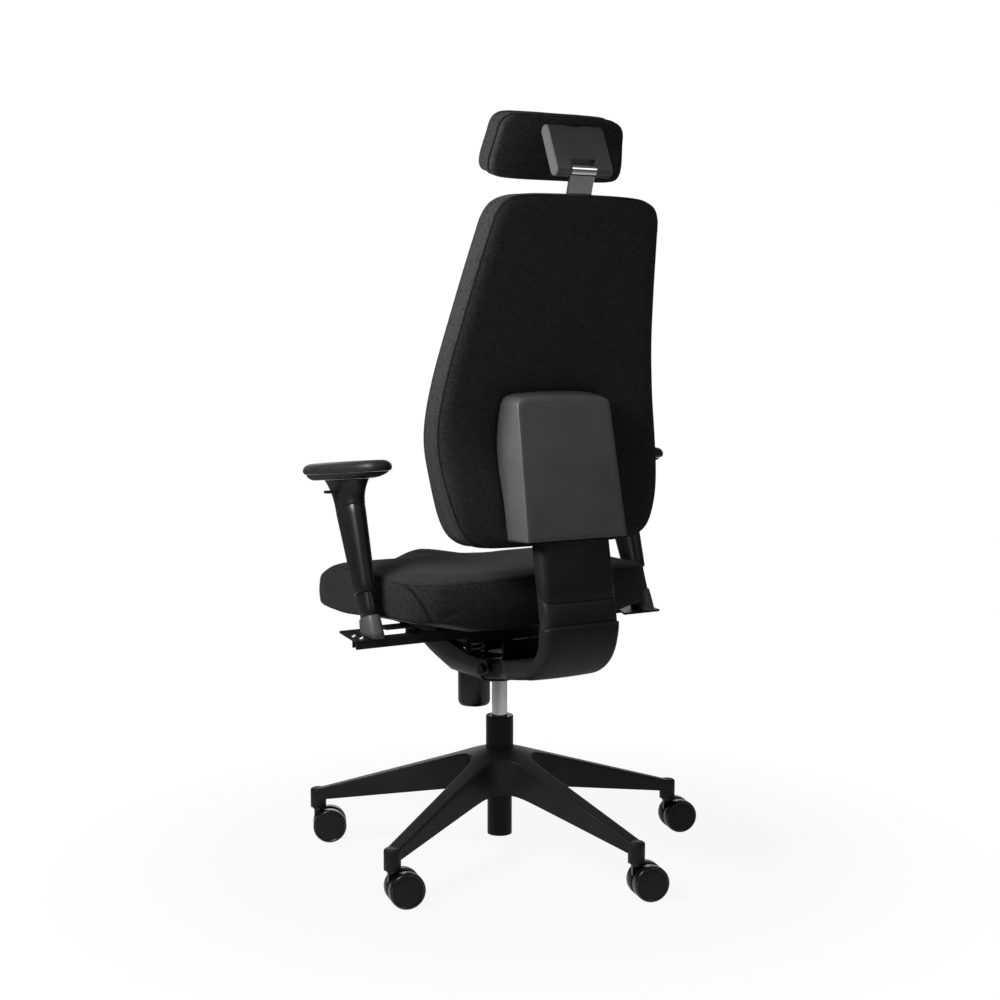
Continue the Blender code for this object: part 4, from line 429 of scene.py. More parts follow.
def through(points, steps):
    """A Catmull-Rom cubic through a row of points, cut into equal steps of its parameter."""
    row = np.asarray(points, float)
    row = np.vstack([row[:1], row, row[-1:]])
    a, b, c, d = (row[k:len(row) - 3 + k, None, :] for k in range(4))
    t = np.linspace(0.0, 1.0, steps, endpoint=False)[None, :, None]
    drawn = b + 0.5 * t * (c - a + t * (2 * a - 5 * b + 4 * c - d + t * (3 * (b - c) + d - a)))
    return np.vstack([drawn.reshape(-1, row.shape[1]), row[-1:]])


def spaced(loop, count):
    """A closed outline cut into pieces of equal length."""
    ring = np.vstack([loop, loop[:1]])
    mark = np.concatenate([[0.0], np.cumsum(np.linalg.norm(np.diff(ring, axis=0), axis=1))])
    at = np.linspace(0.0, mark[-1], count, endpoint=False)
    return np.stack([np.interp(at, mark, ring[:, k]) for k in range(ring.shape[1])], axis=1)


def mirrored_loop(half, count):
    """A closed outline from the control points of its +X half."""
    right = through(half, 24)
    return spaced(np.vstack([right, (right * (-1.0, 1.0))[-2:0:-1]]), count)


def drawn_in(outline, inset):
    """An outline moved inwards along its normals, which are its tangents turned by a right angle."""
    along = np.roll(outline, -1, axis=0) - np.roll(outline, 1, axis=0)
    along /= np.linalg.norm(along, axis=1)[:, None]
    after = np.roll(outline, -1, axis=0)
    side = np.sign(np.sum(outline[:, 0] * after[:, 1] - after[:, 0] * outline[:, 1]))
    return outline + side * np.reshape(inset, (-1, 1)) * np.stack([-along[:, 1], along[:, 0]], axis=1)


def shrunk(outline, centre, share):
    """An outline scaled towards a centre."""
    centre = np.asarray(centre)
    return centre + share * (outline - centre)


def oval(half, count, power=2.5):
    """A closed superellipse: cosine and sine raised to 2 / power, with their signs."""
    angle = np.linspace(0.0, 2 * np.pi, count, endpoint=False)
    both = np.stack([np.cos(angle), np.sin(angle)], axis=1)
    return np.asarray(half) * np.sign(both) * np.abs(both) ** (2 / power)


def skin(name, rings, finish, hollow=False):
    """A closed surface through rings of equal counts, with a fan at each end, or with its rings in a loop."""
    rings = np.asarray(rings, float)
    rows, count = rings.shape[:2]
    points = np.vstack([rings.reshape(-1, 3), rings[0].mean(axis=0), rings[-1].mean(axis=0)])
    index = np.arange(rows * count).reshape(rows, count)
    after = np.roll(index, -1, axis=1)
    if hollow:
        points = points[:-2]
        above, beyond = np.roll(index, -1, axis=0), np.roll(after, -1, axis=0)
        faces = np.stack([index, after, beyond, above], axis=-1).reshape(-1, 4).tolist()
    else:
        quads = np.stack([index[:-1], after[:-1], after[1:], index[1:]], axis=-1).reshape(-1, 4)
        low = np.stack([after[0], index[0], np.full(count, rows * count)], axis=-1)
        high = np.stack([index[-1], after[-1], np.full(count, rows * count + 1)], axis=-1)
        faces = quads.tolist() + low.tolist() + high.tolist()
    corner = points[np.array([face[:3] for face in faces])]
    tilted = np.cross(corner[:, 1] - corner[:, 0], corner[:, 2] - corner[:, 0])
    inside_out = np.sum(tilted * (corner[:, 0] - points.mean(axis=0))) < 0
    if inside_out:
        faces = [face[::-1] for face in faces]
    mesh = bpy.data.meshes.new(name)
    mesh.from_pydata(points.tolist(), [], faces)
    mesh.shade_smooth()
    mesh.materials.append(finish)
    made = bpy.data.objects.new(name, mesh)
    scene.collection.objects.link(made)
    return made


def gathered(items, key, width=3, kind=float):
    """One property of all vertices, corners or faces of a mesh, a row each."""
    values = np.empty(width * len(items), kind)
    items.foreach_get(key, values)
    return values.reshape(-1, width)


def map_cloth(piece):
    """The cloth's map in metres: each face takes the two axes across the one that it faces most."""
    mesh = piece.data
    corner = gathered(mesh.loops, "vertex_index", 1, int)[:, 0]
    sizes = gathered(mesh.polygons, "loop_total", 1, int)[:, 0]
    facing = np.repeat(np.abs(gathered(mesh.polygons, "normal")).argmax(axis=1), sizes)
    across = np.array(((1, 2), (0, 2), (0, 1)))[facing]
    cloth = np.take_along_axis(gathered(mesh.vertices, "co")[corner], across, axis=1)
    layer = mesh.uv_layers.new(name="cloth")
    layer.data.foreach_set("uv", cloth.astype(np.float32).ravel())


def paint_seam_shade(piece, painted_shade):
    """Store how much painted shade each vertex takes in a seam groove or a joint between cover pieces, from 0
    to 1.
    """
    layer = piece.data.attributes.new("seam", "FLOAT", "POINT")
    layer.data.foreach_set("value", np.asarray(painted_shade, np.float32))


def by_ring(values, count):
    """One value a ring spread over its vertices, with 0 for the two middles that close a skin."""
    return np.concatenate([np.repeat(np.asarray(values, float), count), [0.0, 0.0]])


SWELL_PRESSURE, SWELL_STEPS = 1.5, 20


def plumped(piece, held, cap):
    """Swell a sewn cover: cloth with air pressure, held at its seams, each point moved by the cap at most."""
    mesh = piece.data
    rest = gathered(mesh.vertices, "co")
    group = piece.vertex_groups.new(name="held")
    for weight in np.unique(held[held > 0.0]):
        group.add(np.flatnonzero(held == weight).tolist(), float(weight), "REPLACE")
    cloth = piece.modifiers.new("swell", "CLOTH")
    cloth.settings.quality = 6
    cloth.settings.mass = 0.3
    cloth.settings.use_pressure = True
    cloth.settings.uniform_pressure_force = SWELL_PRESSURE
    cloth.settings.vertex_group_mass = "held"
    cloth.settings.effector_weights.gravity = 0.0
    cloth.collision_settings.use_collision = False
    cloth.collision_settings.use_self_collision = False
    cloth.point_cache.frame_start = 1
    cloth.point_cache.frame_end = SWELL_STEPS
    for step in range(1, SWELL_STEPS + 1):
        scene.frame_set(step)
    swollen = piece.evaluated_get(bpy.context.evaluated_depsgraph_get()).to_mesh()
    move = gathered(swollen.vertices, "co") - rest
    length = np.linalg.norm(move, axis=1)
    move *= np.minimum(1.0, cap / np.maximum(length, 1e-9))[:, None]
    piece.evaluated_get(bpy.context.evaluated_depsgraph_get()).to_mesh_clear()
    piece.modifiers.remove(cloth)
    piece.vertex_groups.clear()
    scene.frame_set(1)
    mesh.vertices.foreach_set("co", (rest + move).ravel())
    mesh.update()
    print(f"{piece.name}: swelled by {1000 * length.max():.1f} mm at most, capped at {1000 * cap:.1f} mm")


def settle(piece, body, slot, *nodes):
    """Let a piece ride on a body in place of its solids; the finish slot is not used."""
    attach(piece, body)
    if nodes:
        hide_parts(*nodes)


def sewn(name, rings, painted_shade, body, node, held=None, cap=0.0):
    """A fabric piece with painted shade in its seams and joints, swelled where it isn't held, mapped as cloth
    and set on its body.
    """
    piece = skin(name, rings, FINISH["fabric"])
    paint_seam_shade(piece, painted_shade)
    if held is not None:
        plumped(piece, held, cap)
    map_cloth(piece)
    settle(piece, body, "fabric", node)


# Back

PLATE_BOTTOM, PLATE_TOP, PLATE_HALF = 0.609, 0.847, (0.1000, 0.0930)
PLATE_REAR, PLATE_SLOPE, PLATE_INNER, PLATE_SPREAD = 0.2583, -0.199, 0.152, 0.010
BACK_TOP, BACK_BOTTOM, BACK_CENTRE_Z = 1.179, 0.594, 0.870
BACK_PANEL_THICK, BACK_SIDE, BACK_SIDE_LOW = 0.0055, 0.050, 0.016
BACK_CROWN, LUMBAR_CROWN, LUMBAR_Z, LUMBAR_SPAN = 0.018, 0.010, 0.760, 0.090
DISH_DEPTH, DISH_HALF, DISH_Z, DISH_SPAN = 0.017, 0.135, 0.745, 0.100
BACK_HALF_OUTLINE = (
    (0.0, BACK_TOP), (0.096, BACK_TOP - 0.001), (0.138, BACK_TOP - 0.008), (0.159, BACK_TOP - 0.029),
    (0.169, 1.105), (0.193, 0.965), (0.2125, 0.855), (0.2215, 0.775), (0.2155, 0.705), (0.198, 0.640),
    (0.174, BACK_BOTTOM + 0.013), (0.131, BACK_BOTTOM + 0.002), (0.0, BACK_BOTTOM),
)
BACK_CURVE = through((
    (0.590, 0.2065), (0.670, 0.1960), (0.780, 0.1743), (0.890, 0.1845), (1.030, 0.2230), (1.180, 0.2730),
), 16)


def back_curve(z):
    """Depth of the back's rear edge: a smooth curve through a few heights, forward at the lumbar."""
    return np.interp(z, BACK_CURVE[:, 0], BACK_CURVE[:, 1])


def back_rear(x, z):
    """Depth of the rear face: the curve less a bell-shaped dish where the slider cover sits."""
    across = np.exp(-((x / DISH_HALF) ** 4))
    return back_curve(z) - DISH_DEPTH * across * np.exp(-(((z - DISH_Z) / DISH_SPAN) ** 2))


def back_front(z, share, crown):
    """Depth of the cushion's side or front: a share of the side, then a crown that swells at the lumbar."""
    side = BACK_SIDE + BACK_SIDE_LOW * smooth_step((0.74 - z) / 0.12)
    lumbar = LUMBAR_CROWN * np.exp(-(((z - LUMBAR_Z) / LUMBAR_SPAN) ** 2))
    return back_curve(z) - share * side - crown * (BACK_CROWN + lumbar)


def upright_ring(plan, depth):
    """A ring in world space from an outline in x and z and its depth."""
    return np.stack([plan[:, 0], depth, plan[:, 1]], axis=1) + COLUMN


def plate_gap(x, z):
    """How far a point of the rear face lies outside the slider cover's outline, roughly."""
    half = PLATE_HALF[0] + (PLATE_HALF[1] - PLATE_HALF[0]) * (z - PLATE_BOTTOM) / (PLATE_TOP - PLATE_BOTTOM)
    return np.maximum(np.abs(x) - half, z - PLATE_TOP)


def make_back():
    """The board's pillow and the cushion: rings round the outline, sunk at the seams, crowned in front."""
    count = 260
    outline = mirrored_loop(BACK_HALF_OUTLINE, count)
    centre = (0.0, BACK_CENTRE_Z)

    def behind(plan, depth):
        return upright_ring(plan, back_rear(plan[:, 0], plan[:, 1]) + depth)

    rings = [behind(shrunk(outline, centre, share), -BACK_PANEL_THICK) for share in np.linspace(0.06, 0.9, 8)]
    for inset, depth in ((0.006, 1.0), (0.0040, 1.02), (0.0026, 1.0), (0.0020, 0.98)):
        rings.append(behind(drawn_in(outline, inset), -depth * BACK_PANEL_THICK))
    # Painted shade: the board cover's face towards the cushion and its edge, round to the seam, are darkened.
    painted_shade = [1.0] * len(rings)
    pillow = 0.030
    seam = 0.0016
    for inset in np.concatenate([[seam, 0.0018, 0.0024, 0.0030, 0.0042], np.linspace(0.006, pillow, 12)]):
        sunk = 0.97 * BACK_PANEL_THICK * (1 - (inset - seam) / (pillow - seam)) ** 2.6
        rings.append(behind(drawn_in(outline, inset), -sunk))
        painted_shade.append(float(inset < 0.0026))
    inner = drawn_in(outline, pillow)
    for share in np.linspace(0.965, 0.04, 34):
        plan = shrunk(inner, centre, share)
        tuck = -0.0035 * np.exp(-((plate_gap(plan[:, 0], plan[:, 1]) / 0.009) ** 2))
        rings.append(behind(plan, tuck))
        painted_shade.append(0.0)
    sewn("back_board_cover", rings, by_ring(painted_shade, count), "back", "back_panel")

    shares = np.linspace(0.06, 0.94, 14)
    joint = -BACK_PANEL_THICK - 0.0003
    rings = [behind(shrunk(outline, centre, share), joint) for share in shares[::3]]
    held = [1.0] * len(rings)
    for inset, drop in ((0.006, 0.0), (0.0034, 0.0), (0.0024, 0.0004), (0.0014, 0.0014), (0.0004, 0.0030)):
        rings.append(behind(drawn_in(outline, inset), joint - drop))
        held.append(1.0 if drop < 0.001 else 0.7)
    # Painted shade on the cushion's face against the board and its lip down to the seam.
    painted_shade = [1.0] * (len(rings) - 2) + [0.5, 0.0]
    gusset = (
        (-0.0016, 0.30), (-0.0018, 0.38), (-0.0014, 0.48), (-0.0008, 0.58), (-0.0014, 0.70), (-0.0024, 0.80),
    )
    for inset, share in gusset:
        plan = drawn_in(outline, inset)
        rings.append(upright_ring(plan, back_front(plan[:, 1], share, 0.0)))
        held.append(0.0)
        painted_shade.append(0.0)
    for inset, share, crown, hold in (
        (-0.0028, 0.87, 0.0, 0.5), (-0.0020, 0.905, 0.0, 1.0), (-0.0006, 0.925, 0.0, 1.0),
        (-0.0020, 0.945, 0.01, 1.0), (-0.0024, 0.97, 0.03, 0.5), (0.0, 1.0, 0.08, 0.0),
        (0.0050, 1.0, 0.17, 0.0), (0.0110, 1.0, 0.30, 0.0),
    ):
        plan = drawn_in(outline, inset)
        rings.append(upright_ring(plan, back_front(plan[:, 1], share, crown)))
        held.append(hold)
        # Painted shade in the front seam.
        painted_shade.append(float(share == 0.925))
    for scale in np.linspace(0.90, 0.05, 16):
        plan = shrunk(outline, centre, scale)
        rings.append(upright_ring(plan, back_front(plan[:, 1], 1.0, 0.30 + 0.70 * (1 - scale ** 2.6) ** 0.9)))
        held.append(0.0)
        painted_shade.append(0.0)
    held = by_ring(held, count)
    sewn("back_cushion_cover", rings, by_ring(painted_shade, count), "back", "back_cushion", held, 0.004)


make_back()


def make_slider_cover():
    """The wide plate: an arched outline, walls that spread a little forwards and a flat leaning face."""
    count = 240
    top, bottom = PLATE_TOP, PLATE_BOTTOM
    outline = mirrored_loop((
        (0.0, top + 0.0015), (0.040, top + 0.0010), (0.070, top - 0.0008), (0.0845, top - 0.0036),
        (0.0905, top - 0.0090), (0.0928, top - 0.0180), (0.0945, 0.780), (0.0980, 0.670),
        (0.0998, bottom + 0.006), (0.0996, bottom + 0.0015), (0.0982, bottom), (0.090, bottom), (0.0, bottom),
    ), count)
    centre = (0.0, (top + bottom) / 2)

    def at(plan, back):
        return upright_ring(plan, PLATE_REAR + PLATE_SLOPE * (plan[:, 1] - bottom) - back)

    def inside(plan):
        return upright_ring(plan, np.full(count, PLATE_INNER))

    spread = drawn_in(outline, -PLATE_SPREAD)
    rings = [inside(shrunk(spread, centre, share)) for share in (0.1, 0.5, 0.9)] + [inside(spread)]
    for inset, back in ((0.0, 0.0016), (0.0002, 0.0009), (0.0006, 0.0003), (0.0014, 0.0)):
        rings.append(at(drawn_in(outline, inset), back))
    rings += [at(shrunk(outline, centre, share), 0.0) for share in np.linspace(0.92, 0.06, 10)]
    cover = skin("slider_cover_shell", rings, FINISH["grained_plastic"])
    settle(cover, "back", "grained_plastic", "back_slider_cover")


make_slider_cover()


# Seat

SEAT_FRONT, SEAT_REAR, SEAT_HALF = -0.310, 0.147, 0.250
SEAT_BOTTOM, SEAT_EDGE, SEAT_CROWN = 0.4463, 0.529, 0.0090
SEAT_CORNER_SEAM, SEAT_SEAM_SLANT = 0.2485, 0.034


def seat_top(x, y):
    """Height of the seat's upper edge: level, falling in an S-curve to the front, more at the corners."""
    drop = 0.004 + 0.032 * smooth_step(np.abs(x) / 0.12)
    return SEAT_EDGE - drop * smooth_step((-0.15 - y) / 0.16)


def seat_lift(x, y):
    """How far the underside is raised towards the sides, and not at the front."""
    sides = smooth_step((np.abs(x) - 0.105) / 0.115)
    return 0.019 * sides * smooth_step((y + 0.16) / 0.24)


def make_seat():
    """Rings up the bulging sides and over a sewn edge to the crown; bell curves pinch the corner seams."""
    count = 520
    front, rear, half = SEAT_FRONT, SEAT_REAR, SEAT_HALF
    outline = mirrored_loop((
        (0.0, front), (0.48 * half, front + 0.001), (0.78 * half, front + 0.010),
        (0.945 * half, front + 0.050), (0.995 * half, front + 0.130), (half, rear - 0.180),
        (half, rear - 0.090), (0.97 * half, rear - 0.040), (0.84 * half, rear - 0.009),
        (0.6 * half, rear - 0.002), (0.0, rear),
    ), count)
    centre = (0.0, (front + rear) / 2)

    def level(plan, rise, extra=0.0):
        x, y = plan[:, 0], plan[:, 1]
        low = SEAT_BOTTOM + seat_lift(x, y)
        return np.stack([x, y, low + rise * (seat_top(x, y) - low) + extra], axis=1) + COLUMN

    rings = [level(shrunk(outline, centre, share), 0.0) for share in (0.1, 0.30, 0.55, 0.78)]
    rings.append(level(drawn_in(outline, 0.016), 0.0))
    held = [1.0] * len(rings)
    painted_shade = [0.0] * len(rings)
    # Each side ring: inset, rise, hold, and painted shade at the sewn top edge; the pinched corner seams also
    # take painted shade.
    sides = [(0.010, 0.0, 1.0, 0.0), (0.0055, 0.012, 0.6, 0.0), (0.0026, 0.045, 0.0, 0.0)]
    for rise in np.linspace(0.10, 0.90, 20):
        sides.append((0.0008 - 0.0026 * math.sin(math.pi * (rise - 0.05) / 0.90), rise, 0.0, 0.0))
    sides += [
        (0.0010, 0.940, 0.6, 0.0), (0.0022, 0.985, 1.0, 0.0), (0.0032, 1.005, 1.0, 0.35),
        (0.0046, 1.030, 1.0, 0.0), (0.0082, 1.065, 0.6, 0.0), (0.0125, 1.090, 0.0, 0.0),
        (0.0190, 1.105, 0.0, 0.0),
    ]
    corner = np.abs(outline[:, 0]) - SEAT_CORNER_SEAM
    for inset, rise, hold, seam in sides:
        slant = np.where(outline[:, 1] > 0.0, corner + SEAT_SEAM_SLANT * max(0.0, 1.0 - rise) ** 0.7, 1.0)
        pinch = np.exp(-((slant / 0.0019) ** 2)) * float(0.04 < rise < 1.0)
        rings.append(level(drawn_in(outline, inset + 0.0014 * pinch), rise))
        held.append(hold)
        painted_shade.append(np.maximum(seam, 0.7 * pinch))
    for scale in np.linspace(0.88, 0.05, 16):
        crown = SEAT_CROWN * (0.85 + 0.15 * (1 - scale ** 2))
        rings.append(level(shrunk(outline, centre, scale), 1.0, crown))
        held.append(0.0)
        painted_shade.append(0.0)
    painted_shade = np.concatenate([np.full(count, value) for value in painted_shade] + [[0.0, 0.0]])
    sewn("seat_cushion_cover", rings, painted_shade, "seat", "seat_cushion", by_ring(held, count), 0.004)


make_seat()


# Headrest pad

def leaned(points, lean, place):
    """Points turned about X by an angle in degrees and moved to a place of the chair."""
    turn = math.radians(lean)
    cosine, sine = math.cos(turn), math.sin(turn)
    x, y, z = np.moveaxis(np.asarray(points, float), -1, 0)
    tipped = np.stack([x, y * cosine - z * sine, y * sine + z * cosine], axis=-1)
    return tipped + np.asarray(place) + COLUMN


HEAD_PAD_AT, HEAD_PAD_LEAN = (0.0, 0.2005, 1.2575), -18.0


def make_head_pad():
    """The board's pillow and the cushion: rings round a wide outline, sunk at seams, crowned in front."""
    count = 180
    half = np.array((
        (0.0, 1.0), (0.66, 0.99), (0.84, 0.90), (0.925, 0.66), (0.955, 0.25), (0.985, -0.15), (1.0, -0.45),
        (0.985, -0.74), (0.90, -0.93), (0.62, -0.995), (0.0, -1.0),
    )) * (0.131, 0.054)
    outline = mirrored_loop(half, count)
    side, crown, panel_thick = 0.050, 0.012, 0.010

    def at(plan, depth):
        return np.stack([plan[:, 0], np.full(count, depth), plan[:, 1]], axis=1)

    rings = [at(shrunk(outline, (0, 0), share), -panel_thick) for share in (0.1, 0.4, 0.75)]
    for inset, depth in (
        (0.005, -panel_thick), (0.0032, -0.0099), (0.0022, -0.0096), (0.0015, -0.0092), (0.0012, -0.0084),
        (0.0010, -0.0070), (0.0012, -0.0048), (0.0022, -0.0028), (0.0042, -0.0014), (0.0066, -0.0006),
        (0.0100, 0.0),
    ):
        rings.append(at(drawn_in(outline, inset), depth))
    # Painted shade: the board cover's face towards the cushion and its edge, up to the seam, are darkened.
    painted_shade = [float(number < 7) for number in range(len(rings))]
    rings += [at(shrunk(outline, (0, 0), share), 0.0) for share in (0.75, 0.5, 0.25, 0.08)]
    painted_shade += [0.0] * 4
    rings = leaned(rings, HEAD_PAD_LEAN, HEAD_PAD_AT)
    sewn("headrest_board_cover", rings, by_ring(painted_shade, count), "headrest", "headrest_panel")

    joint = -panel_thick - 0.0003
    rings = [at(shrunk(outline, (0, 0), share), joint) for share in (0.1, 0.4, 0.75)]
    held = [1.0, 1.0, 1.0]
    for inset, depth, hold in (
        (0.005, joint, 1.0), (0.0032, joint, 1.0), (0.0018, joint - 0.0006, 1.0),
        (0.0010, joint - 0.0018, 0.8), (0.0004, -0.015, 0.3), (0.0002, -0.019, 0.0),
        (0.0010, -0.024, 0.0), (0.0020, -0.029, 0.0), (0.0022, -0.034, 0.0), (0.0016, -0.038, 0.0),
        (0.0010, -0.042, 0.4), (0.0020, -0.0445, 1.0),
        (0.0026, -0.047, 0.4), (0.0050, -0.0505, 0.0), (0.0090, -0.053, 0.0), (0.0140, -0.055, 0.0),
    ):
        rings.append(at(drawn_in(outline, inset), depth))
        held.append(hold)
    for scale in np.linspace(0.80, 0.08, 9):
        rings.append(at(shrunk(outline, (0, 0), scale), -side - crown * (0.42 + 0.58 * (1 - scale ** 2.4))))
        held.append(0.0)
    rings = leaned(rings, HEAD_PAD_LEAN, HEAD_PAD_AT)
    # Painted shade on the cushion's rings held against the board.
    painted_shade, held = by_ring(np.isin(held, (0.8, 1.0)), count), by_ring(held, count)
    sewn("headrest_cushion_cover", rings, painted_shade, "headrest", "headrest_cushion", held, 0.003)


make_head_pad()


# Arm pads

ARM_X, PAD_PITCH = 0.283, 5.6
HEAD_TOP, HEAD_HALF = (-0.046, 0.700), (0.030, 0.056)
PAD_HALF, PAD_THICK, PAD_LIFT = (0.045, 0.137), 0.020, 0.0111
TRAY_HALF, TRAY_THICK, TRAY_LIFT = (0.042, 0.128), 0.0105, 0.0003
TRAY_PROFILE = (
    (-0.6, 0.0), (0.0, 0.0), (0.30, 0.10), (0.58, 0.30), (0.82, 0.58), (0.95, 0.80), (1.0, 0.93), (0.98, 1.0),
)


def pad_place(side, lift):
    """The middle of an arm's head, moved up along the pad's own normal."""
    pitch = math.radians(PAD_PITCH)
    return side * ARM_X, HEAD_TOP[0] - lift * math.sin(pitch), HEAD_TOP[1] + lift * math.cos(pitch)


def make_arm_pad(name, side):
    """A long oval of skinned foam: drawn in underneath, full at the rim and crowned on top."""
    count = 120
    outline = oval(PAD_HALF, count, 2.6)

    def at(plan, rise):
        return np.column_stack([plan, np.full(count, rise * PAD_THICK)])

    rings = [at(shrunk(outline, (0, 0), share), 0.0) for share in (0.2, 0.55, 0.8)]
    for inset, rise in (
        (0.0065, 0.0), (0.0036, 0.03), (0.0018, 0.09), (0.0006, 0.18), (0.0, 0.30), (0.0, 0.42),
        (0.0008, 0.55), (0.0024, 0.68), (0.0050, 0.80), (0.0088, 0.895), (0.0140, 0.955),
    ):
        rings.append(at(drawn_in(outline, inset), rise))
    rings += [at(shrunk(outline, (0, 0), share), 1.0 - 0.05 * share ** 3) for share in (0.6, 0.45, 0.3, 0.12)]
    pad = skin(f"{name}_pad_skin", leaned(rings, PAD_PITCH, pad_place(side, PAD_LIFT)), FINISH["soft_pad"])
    settle(pad, f"{name}_pad", "soft_pad", f"{name}_arm_pad")


ARM_FOOT_Y, ARM_FOOT_Z, ARM_LEAN = 0.050, 0.4373, 21.0
POST_HALF, BOOT_LOW, BOOT_TOP = (0.0125, 0.0205), (0.0168, 0.0255), (0.0152, 0.0232)
SLEEVE_LOW, SLEEVE_TOP, SLEEVE_FROM, SLEEVE_TO = (0.0160, 0.0245), (0.0210, 0.0355), 0.077, 0.228
ARM_COUNT = 96


def arm_section(half, along, inset=0.0):
    """An oval section at a distance up the arm's axis, drawn in a little."""
    plan = oval(np.asarray(half) - inset, ARM_COUNT)
    return np.column_stack([plan, np.full(ARM_COUNT, along)])


def between(low, high, share):
    """The point a share of the way from one point to another."""
    return np.asarray(low) + share * (np.asarray(high) - np.asarray(low))


def make_arm_stem(name, side):
    """Boot, post and sleeve: ovals that taper along a leaning axis, with rounded lips."""
    place = (side * ARM_X, ARM_FOOT_Y, ARM_FOOT_Z)

    def stand(piece_name, rings, finish, body, node):
        piece = skin(piece_name, leaned(rings, ARM_LEAN, place), FINISH[finish])
        settle(piece, body, finish, node)

    level = math.tan(math.radians(ARM_LEAN))
    foot = arm_section(BOOT_LOW, 0.0)
    foot[:, 2] = -level * foot[:, 1]
    boot = [0.5 * foot, foot]
    for share in (0.3, 0.7, 1.0):
        boot.append(between(foot, arm_section(between(BOOT_LOW, BOOT_TOP, share), 0.0325), share))
    boot += [arm_section(BOOT_TOP, 0.0335, 0.0004), arm_section(BOOT_TOP, 0.0340, 0.0012)]
    boot.append(arm_section(POST_HALF, 0.0336, -0.0004))
    stand(f"{name}_boot_shell", boot, "grained_plastic", f"{name}_arm", f"{name}_arm_boot")

    post = [arm_section(POST_HALF, along) for along in (0.015, 0.05, 0.10, 0.15, 0.184)]
    stand(f"{name}_post_shell", post, "satin_plastic", f"{name}_arm", f"{name}_arm_post")

    sections = [(POST_HALF, SLEEVE_FROM + 0.004, -0.0006), (POST_HALF, SLEEVE_FROM, -0.0008)]
    sections += [(SLEEVE_LOW, SLEEVE_FROM, 0.0012), (SLEEVE_LOW, SLEEVE_FROM + 0.0006, 0.0003)]
    for share in np.linspace(0.01, 0.992, 12):
        along = SLEEVE_FROM + share * (SLEEVE_TO - SLEEVE_FROM)
        sections.append((between(SLEEVE_LOW, SLEEVE_TOP, share), along, 0.0))
    sections += [(SLEEVE_TOP, SLEEVE_TO - 0.0005, 0.0003), (SLEEVE_TOP, SLEEVE_TO, 0.0011)]
    sleeve = [arm_section(*section) for section in sections]
    stand(f"{name}_sleeve_shell", sleeve, "satin_plastic", f"{name}_arm_upper", f"{name}_arm_sleeve")


def make_arm_head(name, side):
    """The head: ovals that leave the sleeve's lean and flare with a power of their share into the flange."""
    lean, pitch = math.radians(ARM_LEAN), math.radians(PAD_PITCH)
    start = (0.0, ARM_FOOT_Y - SLEEVE_TO * math.sin(lean), ARM_FOOT_Z + SLEEVE_TO * math.cos(lean))
    end = (0.0, *HEAD_TOP)
    stations = [(0.006, 0.0011), (0.018, 0.0003)] + [(share, 0.0) for share in np.linspace(0.04, 1.0, 26)]
    rings = []
    for share, inset in stations:
        plan = oval(between(SLEEVE_TOP, HEAD_HALF, share ** 2.2) - inset, ARM_COUNT)
        tilt = pitch + (lean - pitch) * (1 - share) ** 1.5
        ring = np.column_stack([plan[:, 0], plan[:, 1] * math.cos(tilt), plan[:, 1] * math.sin(tilt)])
        rings.append(ring + between(start, end, share) + (side * ARM_X, 0.0, 0.0) + COLUMN)
    head = skin(f"{name}_head_shell", rings, FINISH["satin_plastic"])
    settle(head, f"{name}_arm_upper", "satin_plastic", f"{name}_arm_head")


def make_pad_tray(name, side):
    """The tray under the pad: a bowl from a small foot to the pad's rim."""
    outline = oval(TRAY_HALF, 120)
    foot = outline * 0.72 - (0.0, 0.12 * TRAY_HALF[1])
    rings = []
    for out, rise in TRAY_PROFILE:
        plan = foot + out * (outline - foot) if out >= 0 else shrunk(foot, (0, -0.015), 0.4)
        rings.append(np.column_stack([plan, np.full(len(plan), rise * TRAY_THICK)]))
    tray = skin(f"{name}_pad_tray", leaned(rings, PAD_PITCH, pad_place(side, TRAY_LIFT)), FINISH["nylon"])
    settle(tray, f"{name}_pad_base", "satin_plastic", f"{name}_arm_pad_plate")


for arm_name, arm_side in (("left", 1), ("right", -1)):
    make_arm_pad(arm_name, arm_side)
    make_pad_tray(arm_name, arm_side)
    make_arm_head(arm_name, arm_side)
    make_arm_stem(arm_name, arm_side)


# Back arm

LUG_AT, LUG_R = (0.045, 0.357), 0.0185
LIMB_TOP, LIMB_LOW = ((0.0482, 0.100, 0.2015), (0.3752, 0.3815, 0.398)), ((0.0466, 0.1848), (0.3386, 0.362))
INNER_BEND, OUTER_BEND = (0.2015, 0.443, 0.045), (0.1848, 0.457, 0.094)
TONGUE_HALF, ARM_HALF, BAND_HALF, BAND_THICK = 0.055, 0.0750, 0.0720, 0.0310
REAR_CROWN, SEAM_SLOPE, COVER_FROM, COVER_TO = 0.0022, 0.60, 0.0226, 0.1475
UPRIGHT_AT, UPRIGHT_LEAN = (0.2565, 0.490), 10.8
BACK_ARM_COUNT = 160


